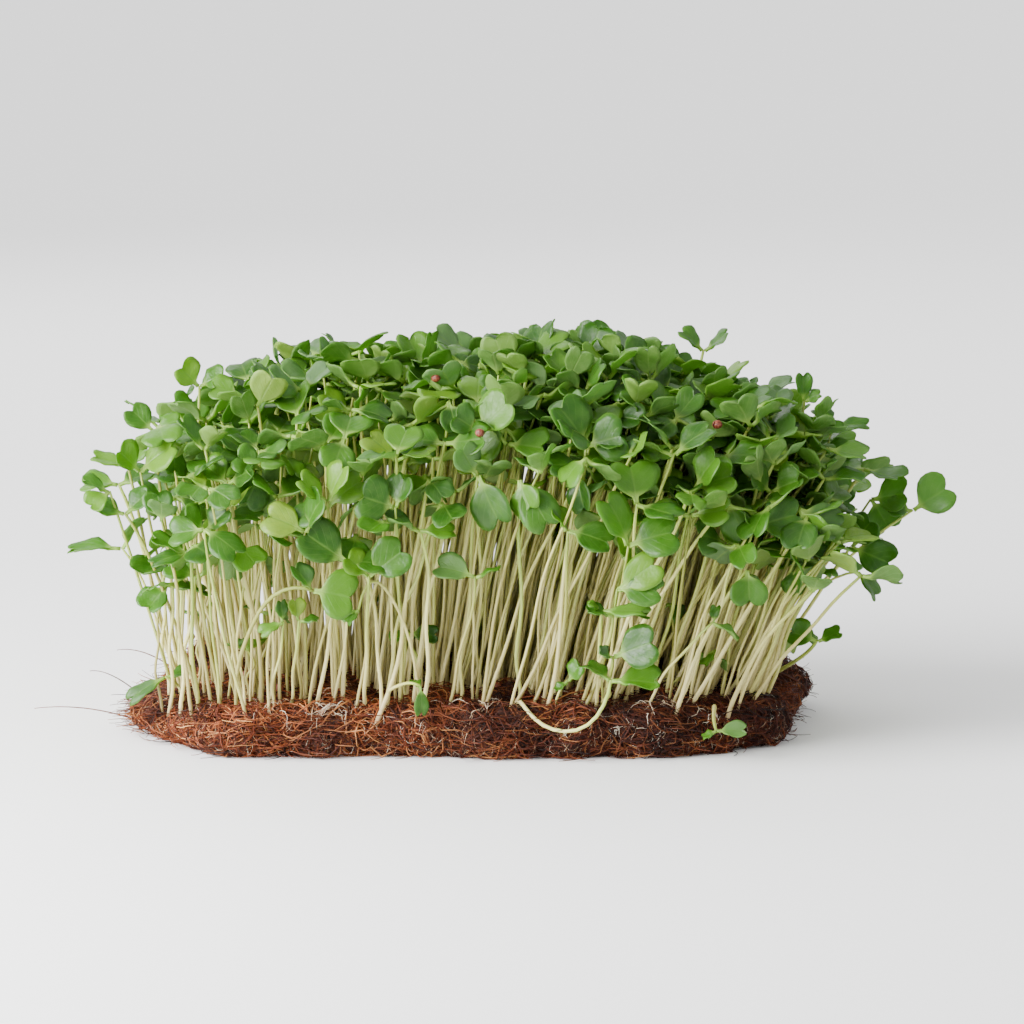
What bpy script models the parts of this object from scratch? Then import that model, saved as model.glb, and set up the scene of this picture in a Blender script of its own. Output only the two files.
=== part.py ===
"""Microgreens growing on a mat of coir fibre.

The mat is a thin slab with a ragged rim and a flat underside. The sprouts stand in it in clumps: the roots of each
clump knit into one plug, which sits in a plain hole in the mat, and every stem carries two notched seed leaves.
A few sprouts at the front and the ends lean out on their own, and shed seed coats lie on the mat.
The plan is worked out in millimetres, with X along the mat, Y to the back and Z up, and is built in metres.
"""

import math
import random

import bpy
import bmesh
from mathutils import Vector
from mathutils.bvhtree import BVHTree

MM = 0.001
SEED = 11

# The mat
MAT_LENGTH = 178.0
MAT_DEPTH = 100.0
MAT_TOP = 13.5
CORNER_RADIUS = 27.0
RIM_POINTS = 48
# The rim from the underside up: how far in, how high, and how much of a tongue's reach it takes
RIM_PROFILE = ((3.2, 0.0, -0.7), (0.5, 3.0, 0.2), (0.0, 6.5, 1.0), (1.6, 10.5, 0.8), (5.0, 13.0, 0.4))
TOP_RINGS = (0.82, 0.60, 0.38, 0.17)
RIM_WAVES = ((1.3, 5, 0.4), (0.9, 11, 2.1), (0.6, 23, 4.0))
RIM_LIFT = (0.45, 40.0)
# Where the rim runs out into a tongue of loose coir, and where it is cut back: place along the rim, reach, width
RIM_TONGUES = ((0.585, 7.0, 0.026), (0.07, 8.5, 0.045))
RIM_CUTS = ((0.63, 8.5, 0.027), (0.945, 3.0, 0.03))
# The mat thins towards its left end
THIN_FROM = -52.0
THIN_SHARE = 0.22
THIN_RUN = 40.0
# Its uneven top: height and run of a swell along it and of one across it, and of the lumps
SWELL_ALONG = (0.5, 23.0, 1.0)
SWELL_ACROSS = (0.4, 13.0, 41.0)
LUMPS = (0.25, 5.5, 6.5)

# Loose fibres that stand out of the mat's rim: place along the rim, height, reach, lift of the far end, sideways bend
LONG_FIBRES = ((0.585, 5.0, 25.5, 4.5, 4.0), (0.563, 7.0, 15.0, 9.5, -3.0), (0.488, 9.5, 14.0, 6.0, 3.0))
RIM_FIBRE_COUNT = 18
RIM_FIBRE_REACH = (3.5, 8.0)
RIM_FIBRE_HEIGHT = (4.0, 9.0)
RIM_FIBRE_LIFT = (-1.5, 4.0)
RIM_FIBRE_BEND = 5.0
FIBRE_RADIUS = 0.32
FIBRE_SIDES = 3
FIBRE_SUNK = 4.0
# A fibre's middle as shares of its reach and lift, and its thickness at the root, the middle and the far end
FIBRE_MIDDLE = (0.45, 0.7)
FIBRE_TAPER = (1.0, 0.9, 0.5)
FIBRE_TONGUE = 0.8
# The stretch of the rim that a sprout runs along, which is kept free of them
FIBRE_FREE = (0.81, 0.89)

# Clumps of sprouts
CLUMP_STEP_X = 18.9
CLUMP_STEP_Y = 18.6
CLUMP_ROWS = 5
CLUMP_COLUMNS = 9
CLUMP_MIDDLE = 3.0
CLUMP_JITTER = 2.2
SPROUTS_A_CLUMP = 3
PLUG_RADIUS = 3.3
PLUG_FOOT_RADIUS = 2.0
PLUG_DEPTH = 8.0
PLUG_RISE = 0.5
PLUG_SIDES = 6
LONE_PLUG_RADIUS = 1.7
PLUG_SPACING = 2.0
CORNER_KEEP = 9.0
CUT_CORNER_KEEP = 14.0
ROOT_CIRCLE = 1.6
ROOT_SUNK = 1.5
FOOT_RISE = 3.0
HOLE_GAP = 0.35
HOLE_FLARE = 1.2
HOLE_ABOVE = 6.0

# Stems and leaves
STEM_RADIUS = 0.62
STEM_SEGMENTS = 2
LONE_SEGMENTS = 4
CURLED_SEGMENTS = 9
STEM_STEP = 0.02
BLADE_THICKNESS = 0.7
BLADE_LENGTH = (9.8, 12.2)
BLADE_WIDTH = (9.4, 12.0)
BLADE_CUP = (-0.12, 0.34)
LONE_CUP = 0.2
BLADE_DROOP = 0.12
# Half of a seed leaf's outline, as shares of its length and its half width, from the petiole to the lobe, and its notch
LEAF_OUTLINE = ((0.40, 0.56), (0.80, 1.0), (1.0, 0.52))
FINE_LEAF_OUTLINE = ((0.30, 0.16), (0.52, 0.82), (0.82, 1.0), (1.0, 0.52))
LEAF_NOTCH = 0.86
LEAF_CLEARANCE = 0.25
BOX_MARGIN = 0.5
TRIES = 90

# The canopy: how far the tips lean out from their roots, and how high they reach
LEAN_X = (8.0, 0.24)
LEAN_Y = 0.22
TIP_STRAY = (12.0, 7.0)
TIP_REACH = (-97.0, 112.0)
LATE_STRAY = 7.0
STEM_BOW = 6.0
STEM_LAG = 0.18
CROWN_HEIGHT = 105.8
CROWN_X = -5.0
LEFT_DROP = 24.0
RIGHT_DROP = 16.5
HALF_LENGTH = 71.0
FRONT_DROP = 21.0
BACK_DROP = 12.0
HALF_ROW = 45.0
HEIGHT_SPREAD = 18.0
HEIGHT_BIAS = 1.3
LEAF_PITCH = (-38.0, 52.0)
LEAF_ROLL = 36.0
LEAF_TURN = 15.0

# Seed coats that lie on the mat between the stems
SEED_COATS = ((-51.0, -27.0), (9.0, -29.0), (47.0, -10.0))
COAT_RADIUS = 1.4
COAT_LIFT = 0.4
COAT_ROOM = 0.3
COAT_SHAPE = (1.0, 0.9, 0.85)

# Lone sprouts, in millimetres: the stem's points from root to tip, then for each leaf its heading, pitch and roll in
# degrees, its length and its width. Heading 0 is +X and 90 is to the back. Roll turns the upper face to the front for
# a leaf that heads along +X, and to the back for one that heads along -X.
LONE_SPROUTS = {
    "arching": (
        ((-62, -40), (-62, -48, 30), (-56, -56, 50), (-46, -59, 51), (-39.8, -59, 48.4)),
        ((-12, -6, 66, 11, 14), (166, 58, -30, 8.5, 7)),
    ),
    "far_left": (
        ((-80, -11), (-84, -12, 26), (-88, -13, 42), (-95, -15, 52)),
        ((186, 6, -16, 14.5, 7.5), (-24, 60, 0, 12, 7)),
    ),
    "left_fork": (
        ((-73, -31), (-78, -32, 30), (-83, -33, 52), (-92, -34, 65)),
        ((176, 14, -30, 9, 8), (10, 44, 30, 9, 8)),
    ),
    "left_upper": (
        ((-83, 5), (-86, 1, 30), (-90, -6, 55), (-96, -10, 69)),
        ((184, 12, -20, 10, 9), (20, 20, 20, 10, 9)),
    ),
    "front_left": (
        ((-42, -42), (-40, -47, 30), (-34, -50, 46), (-30.2, -56, 55.5)),
        ((176, 32, -58, 15, 12), (-8, 8, 40, 9, 8)),
    ),
    "front_small": (
        ((-4, -42), (0, -48, 28), (3, -51, 42), (3.2, -52, 51)),
        ((172, 18, -50, 11, 8.5), (-10, 20, 10, 7, 6)),
    ),
    "front_pair": (
        ((32, -41), (36, -51, 24), (40, -57, 35), (40, -59, 42)),
        ((-4, 8, 14, 9.5, 8), (188, 12, -14, 7, 7)),
    ),
    "drooping": (
        ((15, -41), (15, -50, 17), (19, -55, 7), (28, -55.5, 3.2), (35, -56, 9), (39, -58, 17), (39.5, -60, 24.4)),
        ((-8, 2, 24, 13, 9), (156, 40, 0, 8, 7)),
    ),
    "front_high": (
        ((46, -31), (45, -42, 42), (45, -52, 60), (46.3, -57, 71.5)),
        ((110, 64, 0, 12, 13.5), (-34, -12, 20, 13, 9.5)),
    ),
    "reaching_right": (
        ((79, -19), (84, -18, 28), (98, -13, 45), (124.4, -10, 61.6)),
        ((-8, 37, 74, 12, 12), (182, 10, -50, 7, 7)),
    ),
    "right_low": (
        ((82, 6), (88, 2, 28), (99, -2, 42), (110, -4, 43)),
        ((0, -46, 30, 9, 8), (150, 42, 0, 8, 7)),
    ),
    "right_foot": (
        ((85, -8), (91, -14, 17), (95, -21, 23), (97, -26, 28)),
        ((176, 22, -56, 8, 8), (-4, 24, 30, 7, 6)),
    ),
    "standing_tall": (
        ((52, 20), (56, 19, 50), (63, 14, 84), (67, 12, 103.5)),
        ((172, 46, -20, 8.5, 7.5), (-6, 34, 20, 8.5, 7.5)),
    ),
}

COIR = ((0.19, 0.065, 0.03, 1.0), 0.95)
SPROUT_GREEN = ((0.16, 0.33, 0.06, 1.0), 0.5)
SEED_BROWN = ((0.24, 0.06, 0.03, 1.0), 0.45)


def clear_scene():
    for old in list(bpy.data.objects):
        bpy.data.objects.remove(old)


def plain_material(name, colour, roughness):
    material = bpy.data.materials.new(name)
    material.use_nodes = True
    shader = material.node_tree.nodes["Principled BSDF"]
    shader.inputs["Base Color"].default_value = colour
    shader.inputs["Roughness"].default_value = roughness
    shader.inputs["Metallic"].default_value = 0.0
    return material


def solid(name, corners, faces, material=None):
    """One object from corners in millimetres."""
    mesh = bpy.data.meshes.new(name)
    mesh.from_pydata([corner * MM for corner in corners], [], faces)
    made = bpy.data.objects.new(name, mesh)
    bpy.context.scene.collection.objects.link(made)
    if material:
        mesh.materials.append(material)
    return made


def apply_boolean(target, helpers, operation):
    """Joins the helper objects to the target, or cuts them from it, and removes them."""
    group = bpy.data.collections.new(target.name + "_helpers")
    bpy.context.scene.collection.children.link(group)
    for helper in helpers:
        bpy.context.scene.collection.objects.unlink(helper)
        group.objects.link(helper)
    modifier = target.modifiers.new("join", "BOOLEAN")
    modifier.operation = operation
    modifier.operand_type = "COLLECTION"
    modifier.collection = group
    modifier.solver = "EXACT"
    graph = bpy.context.evaluated_depsgraph_get()
    result = bpy.data.meshes.new_from_object(target.evaluated_get(graph))
    target.modifiers.clear()
    target.data = result
    for helper in helpers:
        bpy.data.objects.remove(helper)
    bpy.data.collections.remove(group)


def rim_point(share):
    """The point at this share of the way round the mat's rounded rectangle, and the way out there."""
    straight_x = MAT_LENGTH - 2 * CORNER_RADIUS
    straight_y = MAT_DEPTH - 2 * CORNER_RADIUS
    quarter = math.pi * CORNER_RADIUS / 2
    along = (share % 1.0) * 2 * (straight_x + straight_y + 2 * quarter)
    centre = Vector((straight_x / 2, straight_y / 2, 0))
    heading = 0.0
    for side in (straight_y, straight_x, straight_y, straight_x):
        out = Vector((math.cos(heading), math.sin(heading), 0))
        run = Vector((-out.y, out.x, 0))
        start = Vector((math.copysign(centre.x, out.x - run.x), math.copysign(centre.y, out.y - run.y), 0))
        if along < side:
            return start + out * CORNER_RADIUS + run * along, out
        along -= side
        if along < quarter:
            turned = heading + along / CORNER_RADIUS
            out = Vector((math.cos(turned), math.sin(turned), 0))
            return start + run * side + out * CORNER_RADIUS, out
        along -= quarter
        heading += math.pi / 2
    return rim_point(0.0)


def rim_wave(share, tongue_share):
    waves = sum(size * math.sin(2 * math.pi * turns * share + phase) for size, turns, phase in RIM_WAVES)
    tongues, cuts = (
        sum(reach * math.exp(-(((share - at) / width) ** 2)) for at, reach, width in bumps)
        for bumps in (RIM_TONGUES, RIM_CUTS)
    )
    return waves + tongue_share * tongues - cuts


def thickness_share(x):
    """The mat's thickness at x as a share of its full thickness."""
    return 1.0 - THIN_SHARE * min(1.0, max(0.0, (THIN_FROM - x) / THIN_RUN))


def mat_height(x, y):
    """Height of the mat's top away from its rim: a low swell with lumps."""
    size, run, shift = SWELL_ALONG
    level = MAT_TOP + size * math.sin(x / run + shift)
    size, run, slant = SWELL_ACROSS
    level += size * math.sin(y / run + x / slant)
    size, run_x, run_y = LUMPS
    level += size * math.sin(x / run_x) * math.sin(y / run_y)
    return level * thickness_share(x)


def mat_slab(material):
    corners, faces = [], []
    for inset, height, tongue_share in RIM_PROFILE:
        for i in range(RIM_POINTS):
            share = i / RIM_POINTS
            point, out = rim_point(share)
            uneven = rim_wave(share, tongue_share)
            lift = RIM_LIFT[0] * math.sin(RIM_LIFT[1] * share + height) if height > 0 else 0.0
            level = (height + lift) * thickness_share(point.x)
            corners.append(point + out * (uneven - inset) + Vector((0, 0, level)))
    for scale in TOP_RINGS:
        for i in range(RIM_POINTS):
            point = rim_point(i / RIM_POINTS)[0] * scale
            corners.append(Vector((point.x, point.y, mat_height(point.x, point.y))))
    rings = len(RIM_PROFILE) + len(TOP_RINGS)
    for ring in range(rings - 1):
        for i in range(RIM_POINTS):
            low, high = ring * RIM_POINTS, (ring + 1) * RIM_POINTS
            j = (i + 1) % RIM_POINTS
            faces.append((low + i, low + j, high + j, high + i))
    corners.append(Vector((0, 0, mat_height(0, 0))))
    middle, last = len(corners) - 1, (rings - 1) * RIM_POINTS
    faces += [(last + i, last + (i + 1) % RIM_POINTS, middle) for i in range(RIM_POINTS)]
    faces.append(tuple(reversed(range(RIM_POINTS))))
    return solid("coir_mat", corners, faces, material)


def fibre(start, out, reach, lift, bend):
    """A thin strand that leaves the mat along out, and bends sideways."""
    middle_reach, middle_lift = FIBRE_MIDDLE
    side = Vector((-out.y, out.x, 0))
    path = [
        start - out * FIBRE_SUNK,
        start + out * reach * middle_reach + Vector((0, 0, lift * middle_lift)),
        start + out * reach + side * bend + Vector((0, 0, lift)),
    ]
    corners, faces = [], []
    for place, thickness in zip(path, FIBRE_TAPER):
        for k in range(FIBRE_SIDES):
            turn = 2 * math.pi * k / FIBRE_SIDES
            across = side * math.cos(turn) + Vector((0, 0, math.sin(turn)))
            corners.append(place + across * FIBRE_RADIUS * thickness)
    for ring in range(len(path) - 1):
        low, high = ring * FIBRE_SIDES, (ring + 1) * FIBRE_SIDES
        for k in range(FIBRE_SIDES):
            m = (k + 1) % FIBRE_SIDES
            faces.append((low + k, low + m, high + m, high + k))
    faces.append(tuple(reversed(range(FIBRE_SIDES))))
    faces.append(tuple(high + k for k in range(FIBRE_SIDES)))
    return solid("fibre", corners, faces)


def add_fibres(mat, draw):
    strands = list(LONG_FIBRES)
    for i in range(RIM_FIBRE_COUNT):
        share = (i + draw.uniform(0.1, 0.9)) / RIM_FIBRE_COUNT
        if FIBRE_FREE[0] < share < FIBRE_FREE[1]:
            continue
        height = draw.uniform(*RIM_FIBRE_HEIGHT)
        reach = draw.uniform(*RIM_FIBRE_REACH)
        lift = draw.uniform(*RIM_FIBRE_LIFT)
        strands.append((share, height, reach, lift, draw.uniform(-RIM_FIBRE_BEND, RIM_FIBRE_BEND)))
    helpers = []
    for share, height, reach, lift, bend in strands:
        point, out = rim_point(share)
        level = height * thickness_share(point.x)
        start = point + out * rim_wave(share, FIBRE_TONGUE) + Vector((0, 0, level))
        helpers.append(fibre(start, out, reach, lift, bend))
    apply_boolean(mat, helpers, "UNION")


def curve_at(points, t):
    """The point at t, from 0 to 1, on the Bezier curve that these points control."""
    while len(points) > 1:
        points = [a.lerp(b, t) for a, b in zip(points, points[1:])]
    return points[0]


def way(heading, pitch):
    heading, pitch = math.radians(heading), math.radians(pitch)
    return Vector((math.cos(pitch) * math.cos(heading), math.cos(pitch) * math.sin(heading), math.sin(pitch)))


def blade_outline(base, leaf, outline, grow):
    """Upper and lower outline points of a seed leaf that starts at base, and its notch in the middle."""
    heading, pitch, roll, length, width, cup = leaf
    along = way(heading, pitch)
    flat_up = way(heading, pitch + 90)
    flat_across = flat_up.cross(along)
    turn = math.radians(roll)
    up = flat_up * math.cos(turn) - flat_across * math.sin(turn)
    across = flat_across * math.cos(turn) + flat_up * math.sin(turn)
    half = [(share * length + grow, part * width / 2 + grow) for share, part in outline]
    rim = [(x, -w) for x, w in half] + [(LEAF_NOTCH * length + grow, 0.0)] + [(x, w) for x, w in reversed(half)]
    upper = []
    for x, w in rim:
        height = cup * abs(w) - BLADE_DROOP * x * x / length
        upper.append(base + along * x + across * w + up * (height + grow))
    lower = [point - up * (BLADE_THICKNESS + 2 * grow) for point in upper]
    return upper, lower


def stem_rings(sprout, grow):
    """Square rings up the stem. The last one lies a blade's thickness above the one before."""
    radius = STEM_RADIUS + grow
    control = sprout["stem"]
    segments = sprout["segments"]
    shares = [i / segments for i in range(segments + 1)]
    places = [curve_at(control, share) for share in shares]
    ways = []
    for share in shares:
        ahead = curve_at(control, min(1, share + STEM_STEP))
        behind = curve_at(control, max(0, share - STEM_STEP))
        ways.append(ahead - behind)
    facing = way(sprout["facing"], 0)
    places.insert(-1, places[-1] - ways[-1].normalized() * (BLADE_THICKNESS + grow))
    ways.insert(-1, ways[-1])
    rings = []
    for place, direction in zip(places, ways):
        direction = direction.normalized()
        u = (facing - direction * facing.dot(direction)).normalized()
        v = direction.cross(u)
        rings.append([place + (u * a + v * b) * radius for a, b in ((1, -1), (1, 1), (-1, 1), (-1, -1))])
    return rings


def sprout_shell(sprout, grow=0.0):
    """Corners and faces of one sprout: a square stem whose last two sides run out into thin blades."""
    rings = stem_rings(sprout, grow)
    corners = [corner for ring in rings for corner in ring]
    faces = [(3, 2, 1, 0)]
    last = len(rings) - 1
    for ring in range(last):
        sides = ((1, 2), (3, 0)) if ring == last - 1 else ((0, 1), (1, 2), (2, 3), (3, 0))
        low, high = 4 * ring, 4 * ring + 4
        faces += [(low + i, low + j, high + j, high + i) for i, j in sides]
    top, below = 4 * last, 4 * (last - 1)
    faces.append((top, top + 1, top + 2, top + 3))
    for leaf, (i, j) in zip(sprout["leaves"], ((0, 1), (2, 3))):
        base = (corners[top + i] + corners[top + j]) / 2
        upper, lower = blade_outline(base, leaf, sprout["outline"], grow)
        first_upper = len(corners)
        corners += upper
        first_lower = len(corners)
        corners += lower
        count = len(upper)
        above = [top + i, *range(first_upper, first_upper + count), top + j]
        under = [below + i, *range(first_lower, first_lower + count), below + j]
        notch = 1 + count // 2
        fan = [(k, k + 1, notch) for k in range(notch - 1)]
        fan += [(notch, k, k + 1) for k in range(notch + 1, count + 1)]
        fan.append((0, notch, count + 1))
        for a, b, c in fan:
            faces += [(above[a], above[b], above[c]), (under[c], under[b], under[a])]
        for k in range(count + 1):
            faces.append((under[k], under[k + 1], above[k + 1], above[k]))
    return corners, faces


def shell_tree(corners, faces):
    return BVHTree.FromPolygons([tuple(corner) for corner in corners], faces)


def box_of(corners):
    low = [min(corner[k] for corner in corners) - BOX_MARGIN for k in range(3)]
    high = [max(corner[k] for corner in corners) + BOX_MARGIN for k in range(3)]
    return low, high


def boxes_meet(a, b):
    return all(a[0][k] <= b[1][k] and b[0][k] <= a[1][k] for k in range(3))


def is_clear(sprout, taken):
    """True if the sprout, grown by the clearance, crosses nothing that is already placed."""
    corners, faces = sprout_shell(sprout, LEAF_CLEARANCE)
    tree, box = shell_tree(corners, faces), box_of(corners)
    return not any(boxes_meet(box, other) and tree.overlap(placed) for placed, other in taken)


def take(sprout, taken):
    corners, faces = sprout_shell(sprout)
    taken.append((shell_tree(corners, faces), box_of(corners)))


def canopy_height(x, y):
    """How high the tallest stems reach over this root."""
    drop_x = (LEFT_DROP if x < CROWN_X else RIGHT_DROP) * abs((x - CROWN_X) / HALF_LENGTH) ** 3
    drop_y = (FRONT_DROP if y < 0 else BACK_DROP) * (y / HALF_ROW) ** 2
    return CROWN_HEIGHT - drop_x - drop_y


def drawn_leaf(heading, draw):
    return (
        heading,
        draw.uniform(*LEAF_PITCH),
        draw.uniform(-LEAF_ROLL, LEAF_ROLL),
        draw.uniform(*BLADE_LENGTH),
        draw.uniform(*BLADE_WIDTH),
        draw.uniform(*BLADE_CUP),
    )


def drawn_sprout(x, y, draw, spread):
    """One sprout that stands at x, y. A larger spread lets its tip stray further from where it would lean."""
    foot = Vector((x, y, mat_height(x, y) - ROOT_SUNK))
    stray_x, stray_y = TIP_STRAY[0] + spread, TIP_STRAY[1] + spread
    tip_x = x + LEAN_X[0] + LEAN_X[1] * x + draw.triangular(-stray_x, stray_x)
    tip = Vector(
        (
            min(max(tip_x, TIP_REACH[0]), TIP_REACH[1]),
            y + LEAN_Y * y + draw.triangular(-stray_y, stray_y),
            canopy_height(x, y) - HEIGHT_SPREAD * draw.random() ** HEIGHT_BIAS - spread * draw.random(),
        )
    )
    bow = Vector((draw.triangular(-STEM_BOW, STEM_BOW), draw.triangular(-STEM_BOW, STEM_BOW), 0))
    facing = draw.uniform(0, 360)
    return {
        "stem": [foot, foot.lerp(tip, 0.5) + bow - Vector((tip.x - x, tip.y - y, 0)) * STEM_LAG, tip],
        "segments": STEM_SEGMENTS,
        "facing": facing,
        "leaves": (
            drawn_leaf(facing + draw.uniform(-LEAF_TURN, LEAF_TURN), draw),
            drawn_leaf(facing + 180 + draw.uniform(-LEAF_TURN, LEAF_TURN), draw),
        ),
        "outline": LEAF_OUTLINE,
    }


def lone_sprout(points, leaves):
    """One of the sprouts that are set out by hand, from its stem's points and its two leaves."""
    (x, y), *rest = points
    stem = [Vector((x, y, mat_height(x, y) - ROOT_SUNK)), Vector((x, y, mat_height(x, y) + FOOT_RISE))]
    stem += [Vector(point) for point in rest]
    first, second = leaves[0][0], leaves[1][0]
    return {
        "stem": stem,
        "segments": LONE_SEGMENTS if len(points) < 6 else CURLED_SEGMENTS,
        "facing": first + ((second - first) % 360 - 180) / 2,
        "leaves": tuple((*leaf, LONE_CUP) for leaf in leaves),
        "outline": FINE_LEAF_OUTLINE,
    }


def clump_centres(draw):
    """Staggered rows of places across the mat, each moved a little."""
    places = []
    for row in range(CLUMP_ROWS):
        columns = CLUMP_COLUMNS - row % 2
        for column in range(columns):
            x = CLUMP_MIDDLE + (column - (columns - 1) / 2) * CLUMP_STEP_X
            y = (row - (CLUMP_ROWS - 1) / 2) * CLUMP_STEP_Y
            move_x = draw.uniform(-CLUMP_JITTER, CLUMP_JITTER)
            move_y = draw.uniform(-CLUMP_JITTER, CLUMP_JITTER)
            places.append((x + move_x, y + move_y))
    return places


def pull_in(x, y):
    """The place, drawn in from the mat's round corners so that its plug has coir all round."""
    limit_x, limit_y = MAT_LENGTH / 2 - CORNER_RADIUS, MAT_DEPTH / 2 - CORNER_RADIUS
    over = Vector((max(0.0, abs(x) - limit_x), max(0.0, abs(y) - limit_y), 0))
    most = CORNER_RADIUS - (CUT_CORNER_KEEP if x < 0 and y < 0 else CORNER_KEEP)
    if over.length > most:
        over = over.normalized() * most
    return (
        math.copysign(min(abs(x), limit_x) + over.x, x),
        math.copysign(min(abs(y), limit_y) + over.y, y),
    )


def coat_centre(x, y):
    return Vector((x, y, mat_height(x, y) + COAT_RADIUS + COAT_LIFT))


def plan_lone(taken):
    lone = {}
    for name, (points, leaves) in LONE_SPROUTS.items():
        lone[name] = lone_sprout(points, leaves)
        take(lone[name], taken)
    return lone


def plan_clumps(draw, taken):
    """The clumps as (centre, sprouts), each sprout clear of all that is already placed."""
    lone_roots = [Vector(points[0]) for points, _ in LONE_SPROUTS.values()]
    clumps = []
    for x, y in clump_centres(draw):
        x, y = pull_in(x, y)
        for root in lone_roots:
            apart = Vector((x, y)) - root
            least = PLUG_RADIUS + LONE_PLUG_RADIUS + PLUG_SPACING
            if apart.length < least:
                x, y = root + apart.normalized() * least
        sprouts = []
        turn = draw.uniform(0, 2 * math.pi)
        for k in range(SPROUTS_A_CLUMP):
            angle = turn + 2 * math.pi * k / SPROUTS_A_CLUMP
            foot = x + ROOT_CIRCLE * math.cos(angle), y + ROOT_CIRCLE * math.sin(angle)
            for attempt in range(TRIES):
                sprout = drawn_sprout(*foot, draw, LATE_STRAY * attempt / TRIES)
                if is_clear(sprout, taken):
                    sprouts.append(sprout)
                    take(sprout, taken)
                    break
        clumps.append(((x, y), sprouts))
    return clumps


def plug(name, x, y, radius, foot_radius, rise, depth, material=None):
    """The knitted roots of a clump, or with other sizes the hole that they sit in: a tapered six-sided plug."""
    top = mat_height(x, y) + rise
    corners, faces = [], []
    for reach, height in ((foot_radius, MAT_TOP - depth), (radius, top)):
        for k in range(PLUG_SIDES):
            turn = 2 * math.pi * k / PLUG_SIDES
            corners.append(Vector((x + reach * math.cos(turn), y + reach * math.sin(turn), height)))
    for k in range(PLUG_SIDES):
        m = (k + 1) % PLUG_SIDES
        faces.append((k, m, PLUG_SIDES + m, PLUG_SIDES + k))
    faces.append(tuple(reversed(range(PLUG_SIDES))))
    faces.append(tuple(range(PLUG_SIDES, 2 * PLUG_SIDES)))
    return solid(name, corners, faces, material)


def cut_holes(mat, places):
    """Cuts the plain hole of each plug. Its walls run on above the mat, so that the cut is clean."""
    cutters = []
    for x, y, radius in places:
        foot_radius = PLUG_FOOT_RADIUS * radius / PLUG_RADIUS
        slope = (radius - foot_radius) / (PLUG_DEPTH + PLUG_RISE)
        cutters.append(
            plug(
                "hole",
                x,
                y,
                radius + HOLE_GAP * HOLE_FLARE + slope * HOLE_ABOVE,
                foot_radius + HOLE_GAP,
                PLUG_RISE + HOLE_ABOVE,
                PLUG_DEPTH + HOLE_GAP,
            )
        )
    apply_boolean(mat, cutters, "DIFFERENCE")


def build_clump(name, centre, sprouts, radius, material):
    """A root plug with its sprouts, joined into one body."""
    foot_radius = PLUG_FOOT_RADIUS * radius / PLUG_RADIUS
    body = plug(name, *centre, radius, foot_radius, PLUG_RISE, PLUG_DEPTH, material)
    stems = [solid("sprout", *sprout_shell(sprout)) for sprout in sprouts]
    apply_boolean(body, stems, "UNION")
    return body


def build_coat(name, x, y, material):
    mesh = bpy.data.meshes.new(name)
    shape = bmesh.new()
    bmesh.ops.create_icosphere(shape, subdivisions=2, radius=COAT_RADIUS * MM)
    bmesh.ops.scale(shape, vec=COAT_SHAPE, verts=shape.verts)
    shape.to_mesh(mesh)
    shape.free()
    mesh.materials.append(material)
    mesh.shade_smooth()
    coat = bpy.data.objects.new(name, mesh)
    coat.location = coat_centre(x, y) * MM
    bpy.context.scene.collection.objects.link(coat)


def main():
    clear_scene()
    draw = random.Random(SEED)
    coir = plain_material("coir", *COIR)
    green = plain_material("sprout", *SPROUT_GREEN)
    brown = plain_material("seed_coat", *SEED_BROWN)

    taken = []
    for x, y in SEED_COATS:
        centre = coat_centre(x, y)
        reach = COAT_RADIUS + COAT_ROOM
        cube = [centre + Vector((a, b, c)) * reach for a in (-1, 1) for b in (-1, 1) for c in (-1, 1)]
        walls = [(0, 1, 3, 2), (4, 6, 7, 5), (0, 4, 5, 1), (2, 3, 7, 6), (0, 2, 6, 4), (1, 5, 7, 3)]
        taken.append((shell_tree(cube, walls), box_of(cube)))
    lone = plan_lone(taken)
    clumps = plan_clumps(draw, taken)

    mat = mat_slab(coir)
    add_fibres(mat, draw)
    holes = [(x, y, PLUG_RADIUS) for (x, y), _ in clumps]
    holes += [(*points[0], LONE_PLUG_RADIUS) for points, _ in LONE_SPROUTS.values()]
    cut_holes(mat, holes)

    for number, (centre, sprouts) in enumerate(clumps, 1):
        build_clump(f"clump_{number:02d}", centre, sprouts, PLUG_RADIUS, green)
    for name, sprout in lone.items():
        build_clump(f"sprout_{name}", LONE_SPROUTS[name][0][0], [sprout], LONE_PLUG_RADIUS, green)
    for number, (x, y) in enumerate(SEED_COATS, 1):
        build_coat(f"seed_coat_{number}", x, y, brown)


main()
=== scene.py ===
"""Fine microgreens: a sprout for each solid one, many more between them, and a felt of coir fibre.

Lengths are in millimetres until a piece's mesh is made. The plan of the sprouts repeats part.py's, with
the same sizes and the same seed, so that each fine sprout stands where its solid does.
"""

import math
import random

import bpy
import numpy as np
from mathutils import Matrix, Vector, noise
from mathutils.bvhtree import BVHTree

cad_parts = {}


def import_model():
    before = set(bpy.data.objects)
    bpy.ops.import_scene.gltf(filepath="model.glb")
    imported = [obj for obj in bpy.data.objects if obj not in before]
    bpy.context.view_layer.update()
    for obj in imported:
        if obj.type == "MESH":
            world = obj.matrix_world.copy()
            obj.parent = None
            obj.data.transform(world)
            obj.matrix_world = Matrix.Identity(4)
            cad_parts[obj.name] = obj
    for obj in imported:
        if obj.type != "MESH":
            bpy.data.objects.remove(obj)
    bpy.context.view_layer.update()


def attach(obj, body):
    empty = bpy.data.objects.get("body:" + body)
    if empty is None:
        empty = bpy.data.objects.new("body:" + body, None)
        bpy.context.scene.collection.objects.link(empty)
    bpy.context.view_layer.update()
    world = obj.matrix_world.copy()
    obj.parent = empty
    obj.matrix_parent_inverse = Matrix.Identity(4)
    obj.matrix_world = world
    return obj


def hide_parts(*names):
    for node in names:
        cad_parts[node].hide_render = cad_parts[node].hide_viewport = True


MM = 0.001
SEED = 11

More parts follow.
